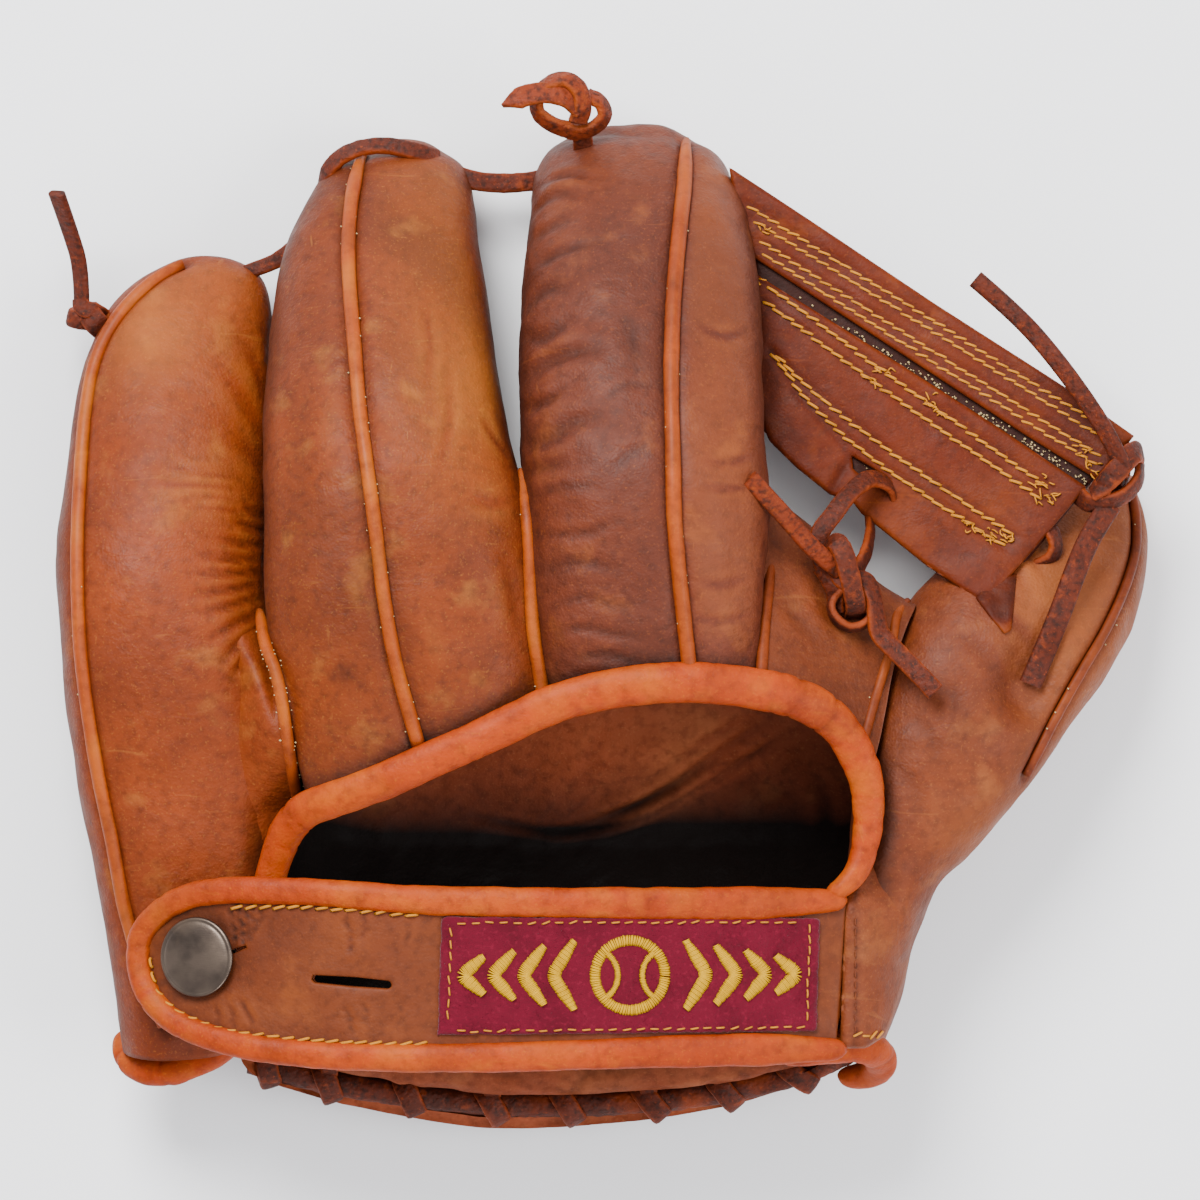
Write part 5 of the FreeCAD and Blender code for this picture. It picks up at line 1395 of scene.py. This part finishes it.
felt = make("felt_patch_face", slab(patch_loop, [], 0.9, strap_face, 1.3, 0.8, felt_bumps),
            FELT, "patch_felt", "wrist_strap")
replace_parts(felt, "felt_patch")
hairs = []
for _ in range(1500):
    x, y = rng.uniform(PATCH[0], PATCH[1]), rng.uniform(PATCH[2] + 0.6, PATCH[3] - 0.4)
    spot = strap_face([(x, y)], 1.25)[0][0]
    lean = unit(rng.normal(0, 1, 3) * [1, 1, 0.25] + [0, 0, 0.25]) * rng.uniform(0.5, 1.1)
    side = unit(np.cross(lean, UP)) * 0.05
    hairs.append((np.array([spot - side, spot + side, spot + lean + side * 0.4, spot + lean - side * 0.4]),
                  [(0, 1, 2, 3)], 0.0))
make("felt_fuzz", joined(hairs), FELT, "patch_felt", "wrist_strap")
make("stitches_patch", joined([strap_row(points, pitch, 1.7, 0.1, 0.24, 1.35) for points, pitch in (
    ([(-36.6, -80), (-37, -92), (-37.6, -105.5)], 2.9), ([(51.6, -79.5), (51.2, -92), (50.8, -105)], 2.7),
    ([(-36, -79.6), (0, -79.4), (51, -79.6)], 3.4), ([(-36, -106), (0, -105.8), (51, -105.4)], 3.4))]),
     THREAD, "thread", "wrist_strap")


def satin(points, widths, gap=0.36, height=0.75, closed=False):
    """Satin embroidery: close threads laid across a line, raised in their middle."""
    line = spline([(*p, 0) for p in points], 240, closed)
    length = np.linalg.norm(np.diff(line, axis=0), axis=1).sum()
    count = int(length / gap)
    parts = []
    for k in range(count):
        i = int((k + 0.5) / count * (len(line) - 2))
        d = unit(line[i + 1] - line[i])
        side = np.array([-d[1], d[0], 0])
        half = np.interp(k / count, np.linspace(0, 1, len(widths)), widths) / 2 + rng.normal(0, 0.06)
        xs = np.array([-1, -0.6, 0, 0.6, 1])
        path = line[i] + side * (xs * half)[:, None] + d * (xs * 0.12)[:, None]
        rise = 1.35 + height * (1 - xs**2) ** 0.7
        parts.append(sweep(strap_face(path, rise)[0], gap * 1.15, 0.34, UP, 5, 2))
    return parts


mid_x, mid_y = 7.25, -92.4
threads = []
turn = np.linspace(0, 2 * math.pi, 24, endpoint=False)
threads += satin([(mid_x + 8.6 * math.cos(a), mid_y + 8.6 * math.sin(a)) for a in turn], [2.4], closed=True)
for side in (-1, 1):
    threads += satin([(mid_x + side * (9.4 - 6.4 * math.cos(a)),
                       mid_y + 6.6 * math.sin(a)) for a in np.linspace(-0.98, 0.98, 9)],
                     [1.3])
    for step in range(4):
        reach, start = 8.6 - 1.3 * step, mid_x + side * (13.6 + 7.4 * step)
        threads += satin([(start, mid_y + reach), (start + side * 3.0, mid_y + reach * 0.45),
                          (start + side * 5.0, mid_y),
                          (start + side * 3.0, mid_y - reach * 0.45), (start, mid_y - reach)],
                          [1.6, 3.0, 3.2, 3.0, 1.6])
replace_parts(make("embroidery_threads", joined(threads), SATIN, "thread", "wrist_strap"), "patch_embroidery")


def lathe(name, profile, foot, axis, material, steps=96):
    """A turned piece from (radius, height) pairs."""
    side = unit(np.cross(axis, [0, 1.0, 0]))
    other = np.cross(axis, side)
    turn = np.linspace(0, 2 * math.pi, steps, endpoint=False)
    around = np.cos(turn)[:, None] * side + np.sin(turn)[:, None] * other
    verts = np.concatenate([foot + axis * rise + around * radius for radius, rise in profile])
    verts, faces = capped(verts, grid_faces(len(profile), steps, True), len(profile), steps)
    return build(name, verts, faces, material, "button_metal", None, "hand")


spot, lean = strap_face([BUTTON])
cap = spline([(0.4, 2.75), (3, 2.72), (6, 2.5), (8.2, 2.1), (9.0, 1.8), (9.2, 1.9), (9.7, 1.75),
              (9.95, 1.3), (9.7, 0.8), (8.8, 0.5), (4, 0.4)], 60)
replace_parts(lathe("button_cap_turned", cap, spot[0], lean[0], BRONZE), "button_cap")
for node in ("button_post", "button_washer"):
    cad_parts[node].data.materials.clear()
    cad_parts[node].data.materials.append(BRONZE)

# ---------------------------------------------------------------- web

WEB_CORNER = np.array([133.75, 40.75, 39.5])
web_x = unit(np.array([-100.0, 66.75, -15.5]))
web_z = unit(np.cross(web_x, [-30.5, -45.8, 3.0]))
web_y = np.cross(web_z, web_x)


def web(points, lift=0.0):
    """Points of the web's own plane, x from the thumb along its top edge and y inwards, as plan points."""
    p = np.asarray(points, float)
    spots = WEB_CORNER + p[:, :1] * web_x + p[:, 1:2] * web_y + np.reshape(lift + 0 * p[:, 0],
        (-1, 1)) * web_z
    return spots, np.broadcast_to(web_z, spots.shape)


WEB_ROWS = [
    [(7, 2.9), (60, 4.2), (114, 5.7)], [(6, 5.2), (60, 6.5), (112, 8.0)],
    [(3.4, 9.4), (60, 10.7), (105.5, 11.4)], [(2.9, 11.7), (60, 13.0), (104.7, 13.7)],
    [(10.4, 23.2), (60, 21.6), (99.6, 19.6)], [(9.8, 26.6), (60, 25.2), (97, 23.4)],
    [(10.7, 38), (52.5, 37.3), (74, 35.4), (87.6, 32.8)],
    [(10.9, 41.4), (45, 41.6), (57.4, 40.9), (74, 37.8), (87.6, 33.2)]]


WEB_CREASES = (
    ((58, 43), (77, 38), 0.8, 0.5), ((56, 44), (55, 55), 1.0, 0.8), ((30, 47), (14, 49), 2.5, 0.2),
    ((96, 27), (80, 45), 3.0, 0.3), ((22, 1.2), (70, 1.6), 0.6, 0.12))


def web_bumps(p):
    """Furrows along the stitching, soft pillows between, and general wear; the furrows, the creases and the
    lower edge past x = 58 are darkened as painted shade.
    """
    spots = flat(p)
    lift, tone = fbm(spots, 16, 171) * 0.3 + fbm(spots, 5, 172) * 0.08, fbm(spots, 18, 173) * 0.16
    for points in WEB_ROWS:
        away = distance(spots, np.array([(*w, 0) for w in points], float))[0]
        lift -= np.exp(-((away / 1.1) ** 2)) * 0.42
        # painted shade in the furrows
        tone -= np.exp(-((away / 0.8) ** 2)) * 0.22
    for a, b, width, depth in WEB_CREASES:
        away = distance(spots, np.array([(*a, 0), (*b, 0)], float))[0]
        lift -= np.exp(-((away / width) ** 2)) * depth
        # painted shade in the creases
        tone -= np.exp(-((away / width) ** 2)) * depth * 0.5
    # painted shade along the lower edge past x = 58
    tone -= np.clip((p[:, 0] - 58) / 12, 0, 1) * np.clip((p[:, 1] - 43) / 4, 0, 1) * 0.35
    lift += 3.2 * np.clip(1 - np.hypot(p[:, 0] - 7, p[:, 1] - 57) / 20, 0, 1) ** 1.3
    return lift, tone


WEB_PARTS = (
    ("web_panel_upper", [(0.3, 0.4), (20, -0.3), (60, 0.2), (98, 0), (122.6, 0), (116.4, 7), (105, 15.6),
                         (60, 15.3), (24, 15.2), (1.4, 14.6)],
    [], 1.8, 2.5, 1.1, "web_upper_panel"),
    ("web_panel_lower", [(3.0, 17.6), (30, 17.3), (60, 17.7), (104, 18.8), (94, 33), (81, 48), (75.5, 51.8),
                         (66, 53.6), (55, 54.6),
    (50.5, 52.6), (46, 54.2), (40.8, 54.6), (26.1, 56), (13, 56.2), (8.2, 56.2), (7.0, 54)],
    [[(56, 43.6), (50.5, 43.2), (45, 43.4), (43.6, 44.6), (45, 45.8), (50, 46.6), (54, 46)]],
    1.8, 2.3, 1.1, "web_lower_panel"),
    ("web_back_leather", [(1.5, 2.5), (60, 2.2), (114, 3), (96, 27), (81, 50), (60, 52.6), (30, 53.4),
                          (12, 53), (6, 50)],
    [[(50.5, 44.4), (50.5, 47.4), (46.5, 47.4), (46.5, 44.4)]], 0.0, 1.7, 2.2, "web_backing"))
for name, outline, holes, low, thick, gap, node in WEB_PARTS:
    is_back = low == 0
    verts, faces, tone = slab(outline, holes, gap, lambda p, lift: web(p, np.asarray(lift) + low), thick,
                              min(1.1, thick / 2), None if is_back else web_bumps)
    # painted shade: the web's backing is darkened
    piece = build(name, verts, faces, WEB, "web_leather", tone - 0.75 * is_back)
    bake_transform(piece)
    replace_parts(piece, node)

sewn = []
for k, points in enumerate(WEB_ROWS):
    line = spline([(*p, 0) for p in points], 160)
    bumps = web_bumps(line[:, :2])[0]
    spots, normals = web(line[:, :2], 1.8 + 2.4 + bumps)
    sewn.append(stitches(spots, normals, 3.1, 2.7, 0.34 if k < 4 else 0.4, 0.05, 0.3, 0.12))
ragged = []
THREAD_ENDS = (
    (105, 22.5, 7, 3), (100, 20.5, 5, 2), (63, 24.6, 4, 1.5), (61, 21.3, 5, 2), (10.2, 25, 10, 4),
    (13, 23.5, 8, 3.4),
    (4.5, 12.5, 6, 3), (8, 11, 5, 3), (11.5, 39.6, 9, 3), (16, 41.4, 8, 3), (22, 41.5, 5, 2.4),
    (107, 8, 4, 3),
    (47, 21.8, 6, 2.5), (44, 22.6, 5, 2))
for x, y, count, spread in THREAD_ENDS:
    for _ in range(count):
        start = np.array([x, y]) + rng.normal(0, spread * 0.32, 2)
        turn = rng.uniform(-0.9, 0.9) + (math.pi if rng.random() < 0.5 else 0)
        reach = rng.uniform(0.8, 2.6)
        middle = start + reach * 0.5 * np.array([math.cos(turn), math.sin(turn)]) + rng.normal(0, 0.35, 2)
        end = start + reach * np.array([math.cos(turn), math.sin(turn)])
        spots = web(spline([(*start, 0), (*middle, 0), (*end, 0)], 8)[:, :2],
                    4.25 + np.array([0, .2, .45, .6, .6, .45, .3, .1]))[0]
        ragged.append(sweep(spots, 0.42, 0.4, UP, 5, 2, taper=1))
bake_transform(make("stitches_web", joined(sewn + ragged), THREAD, "thread"))
crumbs = []
for _ in range(150):
    x = rng.beta(1.2, 1.7) * 92 + 3
    spot = web([(x, 16.4 + x * 0.012 + rng.normal(0, 0.5))], 1.9 + rng.uniform(0, 0.8))[0][0]
    crumbs.append(grain(spot, rng.uniform(0.12, 0.42), ROUND_GRAIN))
for _ in range(12):
    spot = web([(rng.uniform(43, 56), rng.uniform(42.6, 45))], 1.8 + rng.uniform(0, 0.3))[0][0]
    crumbs.append(grain(spot, rng.uniform(0.1, 0.22), ROUND_GRAIN))
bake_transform(make("web_wax_dust", joined(crumbs), DUST, "thread"))


def tab_place(p, lift):
    """The tab lies on the thumb."""
    return thumb.drop(p)[0] + UP * (np.reshape(lift, (-1, 1)) - 0.9), None


def tab_bumps(p):
    """The tab is paler at its tip."""
    spots = flat(p)
    return fbm(spots, 3, 181) * 0.3, fbm(spots, 4, 182) * 0.3 - 0.35 + np.clip((-3.8 - p[:, 1]) / 3, 0,
        1) * 0.9


TAB = [(93.4, 0.5), (97.5, 7.5), (103.8, 6.5), (102.2, -7.6), (100.4, -8.4), (97.0, -4.4)]
make("web_back_tab", slab(TAB, [], 0.8, tab_place, 2.0, 0.8, tab_bumps), WEB, "web_leather", "thumb")

# ---------------------------------------------------------------- laces and knots


def strip(points, ups, width, thick, count, seed, cut=0.0):
    """A flat thong through points; ups are the ways its face looks. With cut, its end tapers to a point."""
    line = spline(points, count)
    ups = np.asarray(ups, float)
    at = np.linspace(0, 1, count)
    ups = unit(np.stack([np.interp(at, np.linspace(0, 1, len(ups)), ups[:, k]) for k in range(3)], 1))
    wide = np.full(count, width) * (1 + 0.05 * fbm(line, 7, seed))
    if cut:
        wide = wide * np.clip(np.linspace(0.12, 0.12 + count / cut, count)[::-1], 0, 1)
    return sweep(line, wide, thick, ups, 16, 3.4, 0.1, seed)


def lace_ring(centre, axis, radius, width, thick, seed, squash=1.0, count=56):
    """A closed loop of thong: width along its axis, thick outwards."""
    axis = unit(np.array(axis, float))
    side = unit(np.cross(axis, [0.3, 1.0, 0.2]))
    other = np.cross(axis, side)
    turn = np.linspace(0, 2 * math.pi, count, endpoint=False)
    out = np.cos(turn)[:, None] * side + np.sin(turn)[:, None] * other * squash
    line = np.array(centre, float) + out * radius * (1 + 0.05 * fbm(out * 3, 2, seed))[:, None]
    return sweep(line, width, thick, unit(out), 16, 3.2, 0.1, seed, closed=True)


def lace_piece(name, parts, material, node, body="hand"):
    """Thongs that belong together, as one piece."""
    piece = make(name, joined(parts), material, "lace_leather", body)
    if node:
        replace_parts(piece, node)


lace_piece("lace_fingertips", [
    strip([(-124, 70, 17), (-112, 73, 17), (-97, 79.5, 17), (-87.5, 83, 18), (-81, 85.6, 19),
           (-75.5, 90, 20)],
          [(0, 0.2, 1)] * 6, 4.0, 2.2, 60, 192),
    strip([(-70, 103.5, 19), (-68.6, 107.2, 23.5), (-65, 111.2, 25.4), (-60, 113.4, 26), (-54, 114, 25.4),
           (-48, 113, 24.4),
           (-44, 112, 23), (-41, 111.2, 20)],
          [(-0.7, 0.6, 0.8), (-0.5, 0.6, 1), (-0.2, 0.7, 1), (0, 0.8, 1), (0.1, 0.8, 1), (0.1, 0.7, 1),
           (0.3, 0.4, 1),
           (0.5, 0.3, 1)], 4.6, 2.5, 80, 193),
    strip([(-40, 110, 17), (-36, 107, 17), (-30, 105.3, 17.5), (-22, 105, 17.5), (-14, 106, 18),
           (-8.5, 108, 20), (-4.5, 112, 25),
           (-4.5, 117, 30)], [(0, 0.1, 1)] * 8, 5.0, 2.4, 80, 194)], LACE, "fingertip_lace")

lace_piece("knot_index_lace", [
    strip([(-4.6, 117, 29.5), (-7.5, 117.6, 31.5), (-12, 119, 33), (-15.6, 122.2, 34.5), (-15.5, 126, 36),
           (-12.5, 129.3, 37.5), (-8.5, 130, 38),
           (-5.2, 127.4, 38), (-4.4, 123, 37), (-5.6, 119.6, 35)],
          [(0.4, -0.6, 0.8), (0.1, -0.8, 0.7), (-0.4, -0.7, 0.7), (-0.8, -0.2, 0.6), (-0.7, 0.5, 0.6),
           (-0.2, 0.9, 0.6), (0.3, 0.8, 0.7),
           (0.7, 0.3, 0.9), (0.6, 0, 1), (0.4, -0.3, 1)], 4.8, 2.4, 110, 195),
    strip([(-3.2, 126.2, 34.5), (0, 124.6, 34), (1.2, 121.4, 33), (-1.2, 118.4, 32), (-5.4, 117.2, 31.6),
           (-9.5, 118, 32)],
          [(0.5, 0.8, 0.7), (0.9, 0.4, 0.6), (0.9, -0.4, 0.6), (0.4, -0.9, 0.6), (-0.1, -0.9, 0.6),
           (-0.4, -0.8, 0.7)], 4.8, 2.4, 70, 196),
    strip([(-4.6, 122.6, 36.6), (-8.4, 125.6, 38.2), (-13, 126.6, 38.6), (-17.5, 126.2, 38.4),
           (-21, 125, 38), (-24.4, 123.4, 37.6)],
          [(0, 0.3, 1)] * 6, 5.4, 2.4, 70, 197, cut=16)], LACE_PALE, "index_lace_knot")

lace_piece("knot_little_lace", [
    lace_ring((-126.6, 70.2, 21.5), (0.75, 0.66, 0.1), 3.6, 6.2, 1.8, 198, 0.9),
    lace_ring((-130.4, 70.8, 21), (0.2, 0.95, 0.25), 2.5, 4.6, 1.9, 199, 1.2),
    strip([(-122, 69, 17), (-124.5, 71, 21), (-127, 72.5, 24.5), (-130, 73.5, 24.8), (-130.4, 75.6, 23.8)],
          [(-0.4, 0.2, 1)] * 5, 4.4, 2.0, 50, 200)], LACE, "little_lace_knot")

lace_piece("lace_web_loop", [
    strip([(73.2, 25.6, 38.2), (71.8, 28.6, 42), (67.6, 30.2, 45.5), (62.6, 27, 50), (58.2, 21.6, 53.5),
           (54.6, 16.4, 55), (54.8, 10.5, 54.6),
           (58.5, 5.5, 54.5)],
          [(0.8, 0.6, 0.5), (0.3, 0.8, 0.7), (-0.1, 0.5, 1), (-0.4, 0.3, 1), (-0.3, 0.1, 1), (-0.1, 0, 1),
           (0, 0, 1), (0, 0.1, 1)],
          4.9, 2.0, 90, 201),
    strip([(72, 24.5, 38), (70.5, 23.6, 33.5), (67.8, 21.5, 36), (67.3, 16.5, 43), (66, 11.4, 49.5),
           (63.4, 7, 53), (60.5, 3, 54)],
          [(0.9, 0.3, 0.2), (0.9, 0.1, 0.5), (0.9, 0, 0.5), (0.9, -0.1, 0.5), (0.8, -0.2, 0.6),
           (0.6, -0.4, 0.7), (0.4, -0.4, 0.8)],
          4.6, 2.0, 80, 202)], LACE, "web_lace")
lace_piece("knot_web_lace", [
    strip([(55.6, 12.4, 56.5), (58.2, 14.4, 59.4), (60, 12, 61.2), (61.4, 7.4, 61.6), (62.6, 2.2, 61),
           (63.4, -2.2, 58.6), (63.2, -4, 54)],
          [(-0.6, 0.7, 0.4), (-0.2, 0.6, 0.8), (0, 0.1, 1), (0.1, 0, 1), (0.1, -0.1, 1), (0.1, -0.6, 0.8),
           (0, -1, 0.2)], 5.2, 2.0, 80, 203),
    lace_ring((62.4, -2.2, 56.4), (0.1, 0.25, 1), 5.0, 5.0, 2.2, 204, 0.94),
    strip([(57.8, 8.6, 54.5), (60.8, 4.4, 57), (65.6, 4.8, 57.6), (67.6, 1, 58.2), (68.4, -3.8, 58.8),
           (69.2, -8.2, 59), (73, -12.4, 60),
           (78, -17.4, 61), (83, -22.8, 61.4)],
          [(0, 0, 1), (0.2, 0.3, 1), (0.5, 0.5, 1), (0.8, 0.1, 0.8), (0.6, 0, 1), (0.3, 0.2, 1),
           (0.1, 0.1, 1), (0, 0, 1), (0, 0, 1)],
          5.0, 2.1, 100, 205),
    strip([(54.8, 8.2, 54.6), (58, 2.5, 55.8), (58.6, -3, 54.6)], [(-0.5, 0, 1)] * 3, 4.6, 2.0, 40, 206)],
    LACE, "web_lace_knot")

lace_piece("knot_thumb_lace", [
    strip([(122.6, 26.4, 45.4), (126.5, 30, 47.4), (129.6, 33.4, 48.2), (132.4, 36.4, 46.4),
           (134.4, 36.8, 42), (134.6, 35, 37)],
          [(-0.6, 0.6, 0.5), (-0.2, 0.3, 1), (0, 0.1, 1), (0.5, 0.5, 0.8), (0.9, 0.3, 0.3), (0.9, -0.1, 0)],
          5.6, 2.0, 80, 207),
    strip([(134.6, 34.6, 40), (134, 29.8, 43.4), (130.6, 26, 45), (126, 24.4, 45), (121.8, 24.2, 44.4),
           (119.6, 26, 42)],
          [(0.8, -0.4, 0.6), (0.6, -0.7, 0.7), (0.3, -0.8, 0.7), (0, -0.8, 0.7), (-0.5, -0.6, 0.7),
           (-0.8, 0, 0.6)], 5.0, 2.2, 80, 208),
    strip([(130.6, 32, 44.5), (130.6, 29.4, 40), (128.4, 26.6, 30), (126.2, 24.6, 18.5)],
          [(0.8, -0.4, 0.2)] * 4, 4.4, 2.0, 50, 209),
    lace_ring((127.6, 29.4, 44.4), (0.7, -0.6, 0.35), 3.4, 4.6, 2.0, 210)], LACE, "thumb_lace_knot", "thumb")
lace_piece("loop_thumb_lace", [
    strip([(106.5, 14.5, 37), (108.6, 17.4, 40), (112, 17.6, 41.6), (113.6, 14, 41.8), (112.6, 10.6, 41),
           (109, 8.8, 39.4), (106.8, 10.2, 36.5)],
          [(-0.3, 0.9, 0.4), (-0.2, 0.9, 0.6), (0.4, 0.6, 0.8), (0.9, 0, 0.6), (0.6, -0.6, 0.6),
           (0, -0.9, 0.5), (-0.5, -0.7, 0.4)],
          4.6, 2.2, 60, 211)], LACE, None, "thumb")

for tail, body, node, material, start, length in (
        (web_tail, "hand", "web_lace_tail", LACE_PALE, (59.5, 7.2, 57.5), 0.035),
        (little_tail, "hand", "little_lace_tail", LACE, (-130.2, 75, 23.5), 0.031),
        (long_tail, "thumb", "thumb_lace_tail_long", LACE, (130.4, 32.4, 47.6), 0.062),
        (short_tail, "thumb", "thumb_lace_tail_short", LACE, (127.2, 23.8, 43.5), 0.049)):
    tail.data.materials.append(material)
    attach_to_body(tail, body)
    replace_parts(tail, node)
    width = (tail.data.extrude + tail.data.bevel_depth) * 2

# ---------------------------------------------------------------- floor and light


def lamp(name, where, size, power):
    """A round soft lamp that looks at the glove."""
    data = bpy.data.lights.new(name, "AREA")
    data.shape, data.size, data.energy = "DISK", size, power
    obj = bpy.data.objects.new(name, data)
    bpy.context.scene.collection.objects.link(obj)
    obj.location = where
    obj.rotation_euler = (-Vector(where)).to_track_quat("-Z", "Y").to_euler()


def floor():
    """A plain pale floor just under the glove."""
    data = bpy.data.meshes.new("floor")
    side = 3.0
    data.from_pydata([(-side, -side, 0), (side, -side, 0), (side, side, 0), (-side, side, 0)], [],
                     [(0, 1, 2, 3)])
    shade = Shade("pale_floor", (0.6, 0.7), Specular_IOR_Level=0.2).paint((0.92, 0.92, 0.93, 1))
    shade.paint((0.88, 0.88, 0.9, 1), shade.ranged(shade.noise(3, 2), 0.4, 0.7))
    data.materials.append(shade.done())
    obj = bpy.data.objects.new("floor", data)
    bpy.context.scene.collection.objects.link(obj)
    obj.location.z = cad_box[0][2] - 0.0005


floor()
world = bpy.data.worlds.new("studio")
bpy.context.scene.world = world
world.use_nodes = True
backdrop = world.node_tree.nodes["Background"]
backdrop.inputs["Color"].default_value = (0.95, 0.96, 1.0, 1)
backdrop.inputs["Strength"].default_value = 1.0
lamp("key", (-0.35, 0.75, 1.1), 0.7, 40)
lamp("fill", (0.9, -0.2, 1.0), 0.8, 14)
lamp("rim", (0.1, -1.0, 0.7), 0.6, 6)
